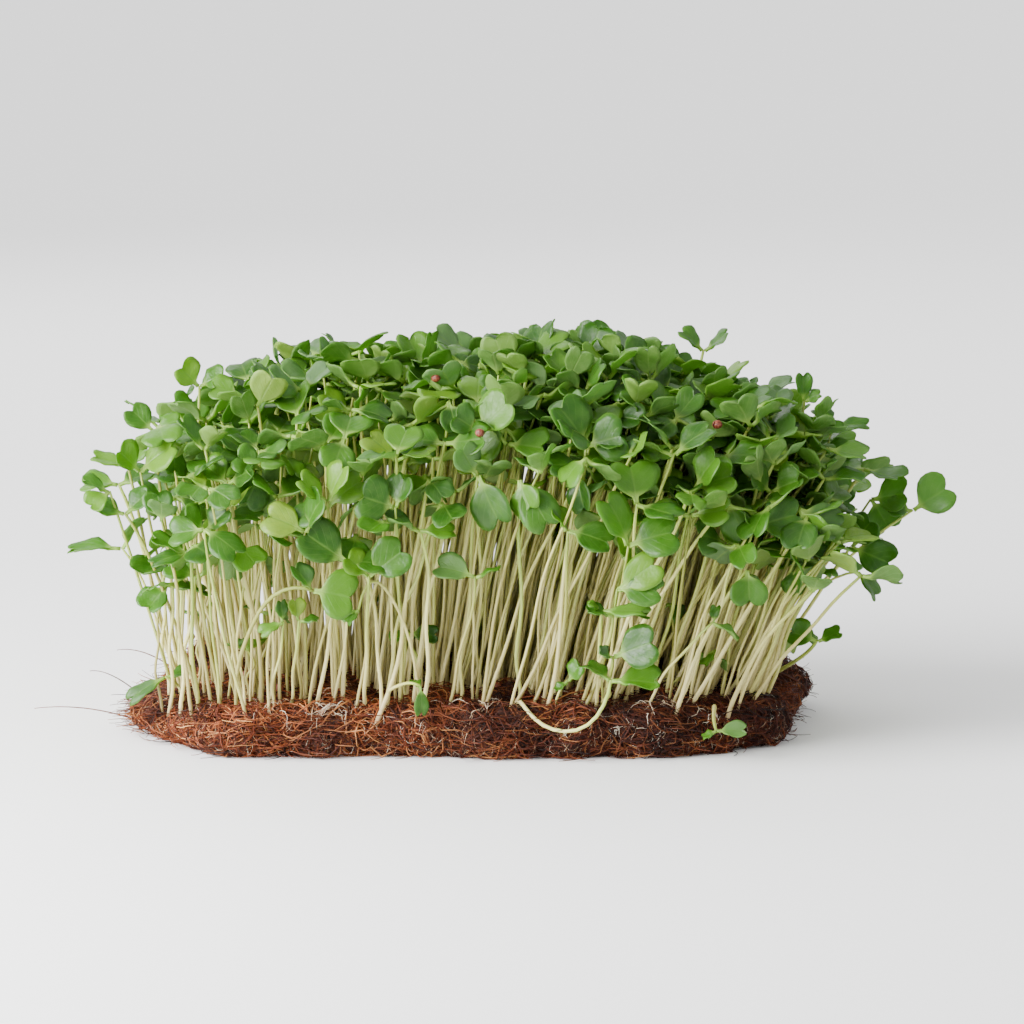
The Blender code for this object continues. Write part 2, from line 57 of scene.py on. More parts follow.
# The mat, as in part.py
MAT_LENGTH = 178.0
MAT_DEPTH = 100.0
MAT_TOP = 13.5
CORNER_RADIUS = 27.0
RIM_PROFILE = ((3.2, 0.0, -0.7), (0.5, 3.0, 0.2), (0.0, 6.5, 1.0), (1.6, 10.5, 0.8), (5.0, 13.0, 0.4))
RIM_WAVES = ((1.3, 5, 0.4), (0.9, 11, 2.1), (0.6, 23, 4.0))
RIM_TONGUES = ((0.585, 7.0, 0.026), (0.07, 8.5, 0.045))
RIM_CUTS = ((0.63, 8.5, 0.027), (0.945, 3.0, 0.03))
THIN_FROM = -52.0
THIN_SHARE = 0.22
THIN_RUN = 40.0
SWELL_ALONG = (0.5, 23.0, 1.0)
SWELL_ACROSS = (0.4, 13.0, 41.0)
LUMPS = (0.25, 5.5, 6.5)
LONG_FIBRES = ((0.585, 5.0, 25.5, 4.5, 4.0), (0.563, 7.0, 15.0, 9.5, -3.0), (0.488, 9.5, 14.0, 6.0, 3.0))

# The clumps, stems and leaves, as in part.py
CLUMP_STEP_X = 18.9
CLUMP_STEP_Y = 18.6
CLUMP_ROWS = 5
CLUMP_COLUMNS = 9
CLUMP_MIDDLE = 3.0
CLUMP_JITTER = 2.2
SPROUTS_A_CLUMP = 3
PLUG_RADIUS = 3.3
LONE_PLUG_RADIUS = 1.7
PLUG_SPACING = 2.0
CORNER_KEEP = 9.0
CUT_CORNER_KEEP = 14.0
ROOT_CIRCLE = 1.6
ROOT_SUNK = 1.5
FOOT_RISE = 3.0
STEM_RADIUS = 0.62
STEM_SEGMENTS = 2
LONE_SEGMENTS = 4
CURLED_SEGMENTS = 9
STEM_STEP = 0.02
BLADE_THICKNESS = 0.7
BLADE_LENGTH = (9.8, 12.2)
BLADE_WIDTH = (9.4, 12.0)
BLADE_CUP = (-0.12, 0.34)
LONE_CUP = 0.2
BLADE_DROOP = 0.12
LEAF_OUTLINE = ((0.40, 0.56), (0.80, 1.0), (1.0, 0.52))
FINE_LEAF_OUTLINE = ((0.30, 0.16), (0.52, 0.82), (0.82, 1.0), (1.0, 0.52))
LEAF_NOTCH = 0.86
LEAF_CLEARANCE = 0.25
BOX_MARGIN = 0.5
TRIES = 90
LEAN_X = (8.0, 0.24)
LEAN_Y = 0.22
TIP_STRAY = (12.0, 7.0)
TIP_REACH = (-97.0, 112.0)
LATE_STRAY = 7.0
STEM_BOW = 6.0
STEM_LAG = 0.18
CROWN_HEIGHT = 105.8
CROWN_X = -5.0
LEFT_DROP = 24.0
RIGHT_DROP = 16.5
HALF_LENGTH = 71.0
FRONT_DROP = 21.0
BACK_DROP = 12.0
HALF_ROW = 45.0
HEIGHT_SPREAD = 18.0
HEIGHT_BIAS = 1.3
LEAF_PITCH = (-38.0, 52.0)
LEAF_ROLL = 36.0
LEAF_TURN = 15.0
SEED_COATS = ((-51.0, -27.0), (9.0, -29.0), (47.0, -10.0))
COAT_RADIUS = 1.4
COAT_LIFT = 0.4
COAT_ROOM = 0.3
LONE_SPROUTS = {
    "arching": (
        ((-62, -40), (-62, -48, 30), (-56, -56, 50), (-46, -59, 51), (-39.8, -59, 48.4)),
        ((-12, -6, 66, 11, 14), (166, 58, -30, 8.5, 7)),
    ),
    "far_left": (
        ((-80, -11), (-84, -12, 26), (-88, -13, 42), (-95, -15, 52)),
        ((186, 6, -16, 14.5, 7.5), (-24, 60, 0, 12, 7)),
    ),
    "left_fork": (
        ((-73, -31), (-78, -32, 30), (-83, -33, 52), (-92, -34, 65)),
        ((176, 14, -30, 9, 8), (10, 44, 30, 9, 8)),
    ),
    "left_upper": (
        ((-83, 5), (-86, 1, 30), (-90, -6, 55), (-96, -10, 69)),
        ((184, 12, -20, 10, 9), (20, 20, 20, 10, 9)),
    ),
    "front_left": (
        ((-42, -42), (-40, -47, 30), (-34, -50, 46), (-30.2, -56, 55.5)),
        ((176, 32, -58, 15, 12), (-8, 8, 40, 9, 8)),
    ),
    "front_small": (
        ((-4, -42), (0, -48, 28), (3, -51, 42), (3.2, -52, 51)),
        ((172, 18, -50, 11, 8.5), (-10, 20, 10, 7, 6)),
    ),
    "front_pair": (
        ((32, -41), (36, -51, 24), (40, -57, 35), (40, -59, 42)),
        ((-4, 8, 14, 9.5, 8), (188, 12, -14, 7, 7)),
    ),
    "drooping": (
        (
            (15, -41),
            (15, -50, 17),
            (19, -55, 7),
            (28, -55.5, 3.2),
            (35, -56, 9),
            (39, -58, 17),
            (39.5, -60, 24.4),
        ),
        ((-8, 2, 24, 13, 9), (156, 40, 0, 8, 7)),
    ),
    "front_high": (
        ((46, -31), (45, -42, 42), (45, -52, 60), (46.3, -57, 71.5)),
        ((110, 64, 0, 12, 13.5), (-34, -12, 20, 13, 9.5)),
    ),
    "reaching_right": (
        ((79, -19), (84, -18, 28), (98, -13, 45), (124.4, -10, 61.6)),
        ((-8, 37, 74, 12, 12), (182, 10, -50, 7, 7)),
    ),
    "right_low": (
        ((82, 6), (88, 2, 28), (99, -2, 42), (110, -4, 43)),
        ((0, -46, 30, 9, 8), (150, 42, 0, 8, 7)),
    ),
    "right_foot": (
        ((85, -8), (91, -14, 17), (95, -21, 23), (97, -26, 28)),
        ((176, 22, -56, 8, 8), (-4, 24, 30, 7, 6)),
    ),
    "standing_tall": (
        ((52, 20), (56, 19, 50), (63, 14, 84), (67, 12, 103.5)),
        ((172, 46, -20, 8.5, 7.5), (-6, 34, 20, 8.5, 7.5)),
    ),
}

# More sprouts listed one by one, in the same terms: the stem's points, then the two leaves
EXTRA_SPROUTS = {
    "pale_v": (((-35, -34), (-36, -55, 72)), ((-167, 40, -40, 10, 8.5), (0, 66, 30, 11, 9))),
    "bright_behind": (((-34, -30), (-36, -52, 70)), ((-7, 44, 65, 12, 9), (-150, -9, -40, 9, 8))),
    "dark_curled": (((-45, -36), (-42, -56, 64)), ((-47, 62, 60, 12, 12), (-168, 30, -60, 11, 10))),
    "square_pale": (((-27, -40), (-25, -57, 52)), ((-13, 41, 80, 12, 11), (-180, 43, -50, 8, 9))),
    "pale_rib": (((-16, -35), (-18, -54, 70)), ((-158, 24, -70, 10, 13), (0, 76, 60, 9, 8))),
    "left_pair": (((-73, -36), (-73, -50, 57)), ((-175, 18, -20, 11, 6), (-155, -1, -25, 11, 6))),
    "left_dark": (((-67, -36), (-69, -50, 63)), ((-153, 41, -60, 8, 9), (-15, 49, 50, 9, 9))),
    "left_pale_flat": (((-63, -30), (-65, -44, 67)), ((-10, -7, 25, 11, 6.5), (-126, -52, -50, 8, 7))),
    "bud_left": (((-52, -42), (-48, -54, 39)), ((-159, -15, -20, 7, 4.5), (-180, 85, -50, 6, 4))),
    "bud_right": (((-47, -38), (-44, -52, 39)), ((-180, 83, -60, 6, 5), (-10, 9, 20, 5, 3.5))),
    "hanging_big": (((-1, -38), (4, -50, 78)), ((-45, -61, 70, 14.5, 11.5), (-180, 57, -50, 9, 9))),
    "hanging_dark": (((15, -36), (15, -52, 77)), ((-33, -51, 55, 15, 10.5), (-61, -55, 65, 9, 10))),
    "dark_low": (((26, -36), (28, -55, 64)), ((-15, -9, 45, 12, 10), (-180, 68, -30, 7, 7))),
    "double_big": (((38, -40), (44, -60, 61)), ((-145, 72, -75, 14, 12), (-16, 24, 60, 13, 13))),
    "mid_two": (((37, -42), (41, -60, 49)), ((-13, 40, 70, 13, 10), (-30, 9, 60, 12, 9))),
    "flat_low": (((36, -43), (37, -58, 43)), ((-25, 5, 20, 13, 8), (-180, 40, -20, 4, 4))),
    "bright_low": (
        ((38, -42), (39, -56, 16), (40, -61, 31)),
        ((-22, 24, 70, 13, 12), (-150, 20, -40, 5, 4)),
    ),
    "right_a": (((56, -36), (61, -48, 67)), ((-20, 10, 55, 11, 9), (-170, 8, -40, 10, 8))),
    "right_dark_leaf": (((62, -33), (71, -44, 70)), ((-44, -60, 70, 11, 9), (-180, 71, -60, 9, 9))),
    "right_light": (((66, -32), (78, -46, 63)), ((-11, 24, 65, 13, 12), (-160, 59, -40, 6, 8))),
    "right_light_two": (((74, -30), (90, -44, 68)), ((-40, -58, 75, 11, 11), (-16, -22, 60, 12, 10))),
    "sheen": (((49, -20), (83, -40, 72)), ((-23, 27, 50, 9, 11), (-166, 44, -50, 8, 9))),
    "heart_mid": (((26, -20), (33, -44, 85)), ((-146, 62, -75, 14, 13), (-22, 22, 70, 11, 13))),
    "mid_round": (((4, -24), (4, -42, 89)), ((-23, 48, 75, 12, 12), (-168, 32, -60, 8, 9))),
    "bright_top": (((52, -5), (55, -30, 84)), ((-164, 50, -60, 9, 10), (-25, 36, 60, 10, 10))),
    "yellow_top": (((86, 5), (95, 5, 90)), ((-180, 89, -75, 8, 5), (-12, 30, 40, 5, 5))),
    "curl_round": (((52, -30), (62, -46, 74)), ((-39, 57, 70, 12, 11), (-22, 23, 60, 12, 11))),
    "left_high_a": (((-78, 0), (-74, 0, 95)), ((-165, 46, -60, 8, 9), (-12, 30, 50, 8, 8))),
    "left_high_b": (((-75, -10), (-62, -10, 94)), ((-169, 24, -50, 8, 9), (-106, -59, -60, 9, 8))),
    "left_grey": (((-65, -28), (-54, -46, 79)), ((-134, -61, -80, 11, 10), (-168, 31, -60, 8, 9))),
    "left_edge_leaf": (((-79, -20), (-88, -30, 76)), ((-159, 43, -60, 9, 9), (-28, 43, 60, 13, 12))),
    "left_edge_low": (((-80, -24), (-96, -34, 71)), ((-169, 28, -30, 8, 6), (-155, -35, -30, 7, 7))),
    "round_small": (((25, -41), (28, -50, 22)), ((-16, 52, 60, 6, 6), (-166, -45, -20, 4, 3))),
    "dark_right_a": (((83, -10), (107, -14, 52)), ((-21, -20, 60, 13, 10), (-18, 56, 60, 10, 10))),
    "dark_right_b": (((84, 5), (113, -6, 64)), ((-21, 13, 60, 11, 11), (-35, -53, 50, 10, 10))),
    "hanging_pale": (
        ((-21, -42), (-20, -46, 19), (-16, -51, 23), (-11.5, -52, 21)),
        ((-70, -76, 0, 8, 3.8), (120, 20, 0, 4, 3)),
    ),
    "bare_arch": (
        ((-12, -40), (-15, -47, 34), (-18, -51, 56), (-26, -52, 54), (-28, -52, 42)),
        ((200, -50, -20, 5, 4), (170, -30, 0, 4, 3)),
    ),
    "hooked": (((50, -42), (56, -47, 27), (67, -52, 38.5)), ((-10, -24, 10, 8, 3.5), (70, 60, 0, 5, 3))),
    "fallen_left": (
        ((-77, -29), (-79, -30, 17), (-82, -31, 19)),
        ((196, -26, -30, 12, 5), (10, 10, 20, 8, 5)),
    ),
    "left_tip": (((-80, -6), (-86, -10, 84)), ((165, 40, -50, 9, 8), (-10, 30, 40, 8, 7))),
    "left_edge_high": (((-81, -12), (-93, -14, 75)), ((176, 12, -20, 10, 6), (10, 50, 30, 7, 6))),
    "right_point": (((86, 10), (103, 4, 83)), ((-10, 10, 25, 10, 6), (150, 50, -20, 7, 7))),
    "rim_leaf": (((68, -42), (67, -50, 14), (68, -53, 9)), ((-6, 2, 50, 8, 4.5), (176, -30, -30, 4, 3))),
}

# The sprouts between the clumps
FILL_COUNT = 900
FILL_GAP = 1.8
FILL_EDGE = 4.5
FILL_SPREAD = 19.0
FILL_BIAS = 1.5
# The lean is greatest here: middle along X, added lean and half width
FILL_FAN = (15.0, 10.0, 38.0)
FILL_TRIES = 9
FILL_STRAY = (15.0, 8.0)
FILL_REACH = (-81.0, 99.0)
FILL_DROP = 3.0
# Low places in the top: middle along X, depth and half width. A negative depth raises the top.
FILL_DIPS = (
    (-38.0, -2.0, 6.0),
    (-22.0, 3.5, 12.0),
    (7.0, -2.5, 9.0),
    (30.0, 2.0, 8.0),
    (50.0, 4.0, 20.0),
)
FILL_BENDS = (0.33, 0.7)
FILL_BOW = 5.0
FILL_LAG = 0.04
FILL_LENGTH = (7.6, 12.0)
FILL_WIDTH = (7.2, 11.5)
FILL_CUP = (-0.15, 0.42)
FILL_PITCH = (-46.0, 48.0)
FILL_SPLAY = 26.0
FILL_ROLL = 50.0
FILL_TURN = 20.0
LEAF_MIDDLE = 0.55
SHORT_SHARE = 0.035
SHORT_HEIGHT = (26.0, 62.0)
SHORT_LEAF = 0.66
# Where few stand: left of this x and in front of this y, only this share
SPARSE = (
    (-76.0, 60.0, 0.08),
    (-60.0, 2.0, 0.06),
    (-48.0, 22.0, 0.3),
    (-30.0, 6.0, 0.14),
    (-12.0, -14.0, 0.11),
    (12.0, -26.0, 0.12),
    (200.0, -31.0, 0.18),
)

# A fine stem
STEM_RINGS = 16
STEM_SIDES = 6
STEM_TAPER_AT = (0.0, 0.3, 0.93, 1.0)
STEM_TAPER = (1.02, 0.84, 0.74, 0.6)
STEM_SIZES = (0.72, 1.16)
STEM_FOOT = 4.0
STEM_SWAY = 0.9
STEM_WAVES = (1.0, 2.2)
# A direction that no stem or strand starts out in
ASKEW = (0.36, 0.80, 0.48)

# Half of a fine leaf, in shares: reach along it, half width, and where its vein leaves the midrib
LEAF_ROWS = (
    (0.00, 0.10, 0.00),
    (0.09, 0.085, 0.09),
    (0.17, 0.12, 0.17),
    (0.23, 0.34, 0.225),
    (0.31, 0.62, 0.29),
    (0.42, 0.86, 0.38),
    (0.55, 0.98, 0.48),
    (0.69, 1.02, 0.58),
    (0.82, 0.97, 0.67),
    (0.92, 0.82, 0.74),
    (0.985, 0.62, 0.78),
    (0.98, 0.38, 0.81),
    (0.92, 0.16, 0.83),
    (0.86, 0.03, 0.845),
)
LEAF_COLUMNS = (0.0, 0.38, 0.74, 1.0)
LEAF_GROWTH = 1.02
LEAF_CURL = (-0.10, 0.34)
LEAF_TWIST = 0.22
LEAF_MARGIN = (-0.5, 1.2)
LEAF_LOPSIDED = 0.10
LEAF_OFFSET = 0.2
# Where the leaf's stalk ends, and the share of the leaf over which it turns into the face
LEAF_STALK = (0.22, 0.2)
STALK_THICKNESS = 0.9
LEAF_THICKNESS = 0.2
LEAF_PUFF = 0.2
# The edge's ripple: height, waves along the leaf, and shift from side to side
LEAF_RIPPLE = (0.4, 1.7, 1.3)

# Coir
CORE_INSET = 1.3
CORE_ROUND = 260
CORE_TOP_RINGS = 30
CORE_PROFILE_STEPS = 15
CORE_FLOOR = 0.4
CORE_CEILING = 0.6
# Lumps as (how close together, height), and the share by which the rim's lumps also rise
RIM_LUMPS = ((0.11, 1.9), (0.34, 1.5), (0.9, 0.8))
TOP_LUMPS = ((0.1, 1.0), (0.3, 0.9), (0.8, 0.5))
LUMP_RISE = 0.5
LUMP_RISE_FROM = 2.0
# Mounds of coir on the top, the highest at the back of the left end: place, height and half width
MOUNDS = (
    (-76.0, 24.0, 7.5, 8.5),
    (-52.0, -16.0, 2.5, 10.0),
    (-33.0, -30.0, 2.6, 7.0),
    (-8.0, -33.0, 3.0, 8.0),
    (12.0, -27.0, 3.6, 7.0),
    (33.0, -33.0, 2.6, 8.0),
    (55.0, -28.0, 3.6, 8.0),
    (76.0, -14.0, 3.4, 8.0),
    (80.0, 14.0, 5.0, 9.0),
)
# Where the fine rim stands out of the solid one, or in
FINE_BUMPS = (
    (0.568, 2.5, 0.012),
    (0.600, -4.5, 0.017),
    (0.30, 1.5, 0.01),
    (0.72, -1.5, 0.012),
    (0.93, -2.0, 0.02),
)
FINE_BUMP_LEAST = 0.4
# Tufts of roots at the front: place and number of hairs
KNOTS = ((-36.0, -44.0, 22), (-51.0, -43.0, 8), (51.0, -44.0, 10), (4.0, -45.0, 9), (69.0, -42.0, 7))
KNOT_SPREAD = (2.2, 1.5)
KNOT_HEADING = (-0.6, 0.7)
KNOT_LENGTH = (4.0, 13.0)
KNOT_RADIUS = (0.05, 0.17)
KNOT_RISE = 2.4
KNOT_WANDER = 0.12
# Strands that creep over the mat: loops, their phase, and how far their ends sink in
STRAND_LOOPS = (0.7, 1.9)
STRAND_PHASE = (-0.2, 0.3)
STRAND_SUNK = 0.3
# The share of the rim's tongues that shows at half height, and near the top
MID_RIM = 0.6
HIGH_RIM = 0.8
FIBRE_COUNTS = {"rim": 7000, "top": 4400, "under": 500}
FIBRES_A_PIECE = 2400
FIBRE_RINGS = 10
FIBRE_SIDES = 4
FIBRE_RADIUS = (0.05, 0.23)
FIBRE_LENGTH = (8.0, 34.0)
FIBRE_RISE = 2.8
FIBRE_RISE_BIAS = 1.3
FIBRE_WANDER = 0.14
FIBRE_CLUMPS = 0.1
FIBRE_BARE = (-0.7, 0.12)
FIBRE_TAPER_AT = (0.0, 0.12, 0.88, 1.0)
FIBRE_TAPER = (0.4, 1.0, 1.0, 0.4)
FIBRE_EDGE = 3.0
FIBRE_FLOOR = 0.25
FIBRE_SLANT = 0.9
RIM_SUNK = 0.5
RIM_HEIGHTS = (0.3, 13.4)
UNDER_RISE = 0.3
LOOSE_RINGS = 14
LOOSE_SUNK = 3.0
LOOSE_FLOOR = 0.2
# A loose strand's two middle points, as shares of its reach, lift and bend
LOOSE_ARCH = ((0.35, 0.9, -0.4), (0.75, 1.1, 0.5))
LONG_RADIUS = (0.26, 0.12)
FRINGE_COUNT = 900
FRINGE_REACH = (1.5, 6.5)
FRINGE_BIAS = 0.7
FRINGE_HEIGHTS = (0.8, 13.0)
FRINGE_LIFT = (-0.5, 0.7)
FRINGE_BEND = 7.0
FRINGE_RADIUS = (0.09, 0.2)
FRINGE_TIP = 0.07
ROOT_COUNT = 620
ROOT_RADIUS = (0.03, 0.085)
ROOT_TIP = 0.03
ROOT_LENGTH = (3.0, 11.0)
ROOT_RISE = 1.9
ROOT_WANDER = 0.1
ROOT_HEIGHTS = (2.0, 13.0)
ROOT_PROUD = 1.0
ROOT_SLANT = 0.6
ROOTS_A_FOOT = 6
# How often roots start at the foot of a stem near the front or an end, rather than on the rim
FOOT_ROOTS = 0.2
FRONT_FROM = -24.0
END_FROM = 68.0
# The ragged tongue at the left end: its place on the rim, and the fibres combed out of it
TONGUE = (0.568, 0.014)
TONGUE_COUNT = 110
TONGUE_REACH = (1.0, 8.0)
TONGUE_SUNK = 2.0
TONGUE_HEIGHTS = (1.5, 9.0)
TONGUE_LIFT = 0.3
TONGUE_BEND = 3.0
TONGUE_RADIUS = (0.1, 0.28)
TONGUE_TIP = 0.08

# More seed coats, on the mat and caught among the leaves
EXTRA_COATS = (
    (-79.8, 29.5, 17.5),
    (-78.8, 17.5, 16.5),
    (-61.0, -10.0, 15.0),
    (-54.0, 15.0, 17.5),
    (-27.1, -5.0, 14.9),
    (-25.2, 6.0, 15.6),
    (5.0, 15.0, 17.0),
    (-7.6, -26.7, 101.0),
    (4.5, -46.8, 89.0),
    (68.6, -34.4, 89.4),
)

# A fine seed coat: rings from pole to pole, points round it, the split and the skin
COAT_RINGS = 9
COAT_SIDES = 16
COAT_POLES = (0.03, 0.94)
COAT_SPLIT = 0.55
COAT_INSIDE = 0.86
COAT_DENT = 0.05
COAT_SQUASH = (0.92, 0.9)
COAT_TILT = 0.8
COAT_SIZES = (0.85, 1.05)

# Colours, and runs of tones as (share, colour)
PALE_STEM = (
    (0.0, (0.76, 0.54, 0.34)),
    (0.14, (0.88, 0.80, 0.42)),
    (0.6, (0.84, 0.82, 0.33)),
    (0.85, (0.66, 0.74, 0.18)),
    (1.0, (0.40, 0.56, 0.09)),
)
GREEN_STEM = ((0.0, (0.72, 0.60, 0.34)), (0.2, (0.76, 0.76, 0.28)), (1.0, (0.36, 0.54, 0.07)))
# Painted shade: each stem darkened by a random amount, for stems that stand in the shade of others
STEM_PAINTED_SHADES = ((0.0, (0.46, 0.43, 0.30)), (0.45, (0.82, 0.80, 0.70)), (1.0, (1.0, 1.0, 1.0)))
# A leaf face: its tones, vein colour, roughness, and the colour and share of the light through it
UPPER_FACE = (
    (
        (0.0, (0.018, 0.078, 0.004)),
        (0.3, (0.032, 0.120, 0.005)),
        (0.6, (0.056, 0.180, 0.007)),
        (0.84, (0.095, 0.240, 0.010)),
        (0.97, (0.16, 0.32, 0.014)),
        (1.0, (0.26, 0.39, 0.03)),
    ),
    (0.13, 0.27, 0.035),
    0.36,
    (0.28, 0.62, 0.005),
    0.46,
)
LOWER_FACE = (
    (
        (0.0, (0.080, 0.185, 0.034)),
        (0.5, (0.135, 0.265, 0.050)),
        (0.88, (0.21, 0.36, 0.06)),
        (1.0, (0.32, 0.46, 0.08)),
    ),
    (0.26, 0.40, 0.10),
    0.5,
    (0.30, 0.62, 0.01),
    0.48,
)
COIR_TONES = (
    (0.0, (0.020, 0.004, 0.001)),
    (0.3, (0.09, 0.014, 0.003)),
    (0.6, (0.21, 0.045, 0.011)),
    (0.86, (0.37, 0.11, 0.033)),
    (1.0, (0.66, 0.32, 0.12)),
)
# The core's coir brown, painted near black for the shade deep among the fibres
CORE_TONES_SHADED = ((0.3, (0.008, 0.003, 0.001)), (0.52, (0.035, 0.009, 0.003)), (0.75, (0.13, 0.035, 0.010)))
ROOT_TONES = ((0.0, (0.32, 0.17, 0.09)), (0.5, (0.56, 0.42, 0.28)), (1.0, (0.86, 0.80, 0.66)))
COAT_TONES = ((0.3, (0.07, 0.014, 0.008)), (0.55, (0.19, 0.036, 0.016)), (0.8, (0.33, 0.09, 0.035)))
STALK_GREEN = (0.36, 0.54, 0.10)
# The paler green of a painted highlight along each leaf's edge, standing in for rim light
RIM_HIGHLIGHT_GREEN = (0.17, 0.33, 0.05)
# A grey-green painted sheen on some leaves, standing in for reflections of the sky on them
PAINTED_SHEEN = (0.21, 0.33, 0.17)
SHADED_COIR = (0.35, 0.26, 0.21)
# Painted shade that darkens the coir towards the mat's right end, away from the light
RIGHT_END_SHADE = (0.40, 0.30, 0.22)
FLOOR_WHITE = (0.92, 0.92, 0.92)

# How the surfaces are painted. First the random share at which a stem starts to be green, and is fully so
STEM_GREENS = (0.55, 0.9)
# The share of the light that comes through a stem from behind
STEM_GLOW = 0.3
# Blotches on a leaf: how fine they are, the noise at which they start and end, and their strength
BLOTCHES = (420.0, 0.35, 0.7, 0.25)
# The share of leaves without the painted sheen, and the strength of the grey-green painted sheen on the
# others
SHEEN_SHARES = (0.82, 0.45)
# The midrib's half width and strength
MIDRIB = (0.05, 0.6)
# The side veins: how they slant, how close they are, where in the wave they start, and their strength
SIDE_VEINS = (1.1, 34.0, 0.86, 0.25)
# How far from the midrib the leaf's painted rim highlight starts, and its strength
RIM_HIGHLIGHT = (0.46, 0.4)
# The reach along the leaf over which the stalk's green ends
STALK_ENDS = (0.12, 0.34)
# Rougher patches on a leaf: how fine they are, the noise at which they start and end, and the changes
ROUGH_PATCHES = (700.0, 0.3, 0.7)
ROUGH_CHANGES = (-0.07, 0.1)
# A leaf's relief: how fine its grain is, the heights of grain and veins, and the depth in metres
LEAF_GRAIN = 1500.0
GRAIN_HEIGHT = 0.4
VEIN_HEIGHT = -0.5
LEAF_RELIEF = 0.00025
STEM_GRAIN = 900.0
STEM_RELIEF = 0.0002
STEM_ROUGHNESS = 0.4
FIBRE_GRAIN = 2500.0
FIBRE_RELIEF = 0.0001
COIR_ROUGHNESS = 0.55
COIR_SHINE = 0.25
# Shaded patches in the coir: how fine, the noise at which they start and end, and their strength
COIR_SHADE = (60.0, 0.4, 0.62, 0.9)
# Where along X, in metres, the coir's painted shade towards the right end starts, and where it is full
RIGHT_SHADE_REACH = (-0.07, 0.09)
ROOT_ROUGHNESS = 0.5
FLOOR_ROUGHNESS = 0.8

# The camera and the light
FLOOR_HALF = 12.0
CAMERA_ELEVATION = 10.0
CAMERA_DISTANCE = 1.1
CAMERA_LENS = 138.0
CAMERA_TARGET = (0.0131, 0.0, 0.0593)
WORLD_LIGHT = 1.15
# Name, kind, place in metres, size in metres or a sun's width in degrees, and strength
LAMPS = (
    ("sun_left", "SUN", (-0.95, -0.28, 0.66), 36.0, 4.2),
    ("window_left", "AREA", (-0.40, -0.28, 0.24), 0.36, 8.5),
    ("back_glow", "AREA", (-0.3, 0.8, 0.7), 0.8, 6.0),
)


def thickness_share(x):
    """The mat's thickness at x as a share of its full thickness."""
    return 1.0 - THIN_SHARE * min(1.0, max(0.0, (THIN_FROM - x) / THIN_RUN))


def mat_height(x, y):
    size, run, shift = SWELL_ALONG
    level = MAT_TOP + size * math.sin(x / run + shift)
    size, run, slant = SWELL_ACROSS
    level += size * math.sin(y / run + x / slant)
    size, run_x, run_y = LUMPS
    level += size * math.sin(x / run_x) * math.sin(y / run_y)
    return level * thickness_share(x)


def flat_way(turn):
    return Vector((math.cos(turn), math.sin(turn), 0))


def left_of(out):
    """The level direction a quarter turn to the left of this one."""
    return Vector((-out.y, out.x, 0))


def any_turn(draw):
    return draw.uniform(0, 2 * math.pi)


def strayed(reach, draw):
    return Vector((draw.triangular(-reach, reach), draw.triangular(-reach, reach), 0))


def bumps_at(place, bumps):
    """The height here of bell-shaped bumps, each given as middle, height and half width."""
    return sum(height * math.exp(-(((place - middle) / width) ** 2)) for middle, height, width in bumps)


def lump_at(place, lumps):
    return sum(noise.noise(place * scale) * size for scale, size in lumps)


def rim_point(share):
    """The point at this share of the way round the mat's rounded rectangle, and the way out there."""
    straight_x = MAT_LENGTH - 2 * CORNER_RADIUS
    straight_y = MAT_DEPTH - 2 * CORNER_RADIUS
    quarter = math.pi * CORNER_RADIUS / 2
    along = (share % 1.0) * 2 * (straight_x + straight_y + 2 * quarter)
    centre = Vector((straight_x / 2, straight_y / 2, 0))
    heading = 0.0
    for side in (straight_y, straight_x, straight_y, straight_x):
        out = flat_way(heading)
        run = left_of(out)
        start_x = math.copysign(centre.x, out.x - run.x)
        start_y = math.copysign(centre.y, out.y - run.y)
        start = Vector((start_x, start_y, 0))
        if along < side:
            return start + out * CORNER_RADIUS + run * along, out
        along -= side
        if along < quarter:
            out = flat_way(heading + along / CORNER_RADIUS)
            return start + run * side + out * CORNER_RADIUS, out
        along -= quarter
        heading += math.pi / 2
    return rim_point(0.0)


def rim_wave(share, tongue_share):
    waves = sum(size * math.sin(2 * math.pi * turns * share + phase) for size, turns, phase in RIM_WAVES)
    return waves + tongue_share * bumps_at(share, RIM_TONGUES) - bumps_at(share, RIM_CUTS)


def curve_at(points, t):
    """The point at t, from 0 to 1, on the Bezier curve that these points control."""
    while len(points) > 1:
        points = [a.lerp(b, t) for a, b in zip(points, points[1:])]
    return points[0]


def way(heading, pitch):
    heading, pitch = math.radians(heading), math.radians(pitch)
    level = math.cos(pitch)
    return Vector((level * math.cos(heading), level * math.sin(heading), math.sin(pitch)))


def leaf_axes(heading, pitch, roll):
    """The leaf's own directions: along it, across it and up from its face."""
    along = way(heading, pitch)
    flat_up = way(heading, pitch + 90)
    flat_across = flat_up.cross(along)
    turn = math.radians(roll)
    up = flat_up * math.cos(turn) - flat_across * math.sin(turn)
    across = flat_across * math.cos(turn) + flat_up * math.sin(turn)
    return along, across, up


def blade_outline(base, leaf, outline, grow):
    heading, pitch, roll, length, width, cup = leaf
    along, across, up = leaf_axes(heading, pitch, roll)
    half = [(share * length + grow, part * width / 2 + grow) for share, part in outline]
    rim = [(x, -w) for x, w in half]
    rim.append((LEAF_NOTCH * length + grow, 0.0))
    rim += [(x, w) for x, w in reversed(half)]
    upper = []
    for x, w in rim:
        height = cup * abs(w) - BLADE_DROOP * x * x / length
        upper.append(base + along * x + across * w + up * (height + grow))
    lower = [point - up * (BLADE_THICKNESS + 2 * grow) for point in upper]
    return upper, lower


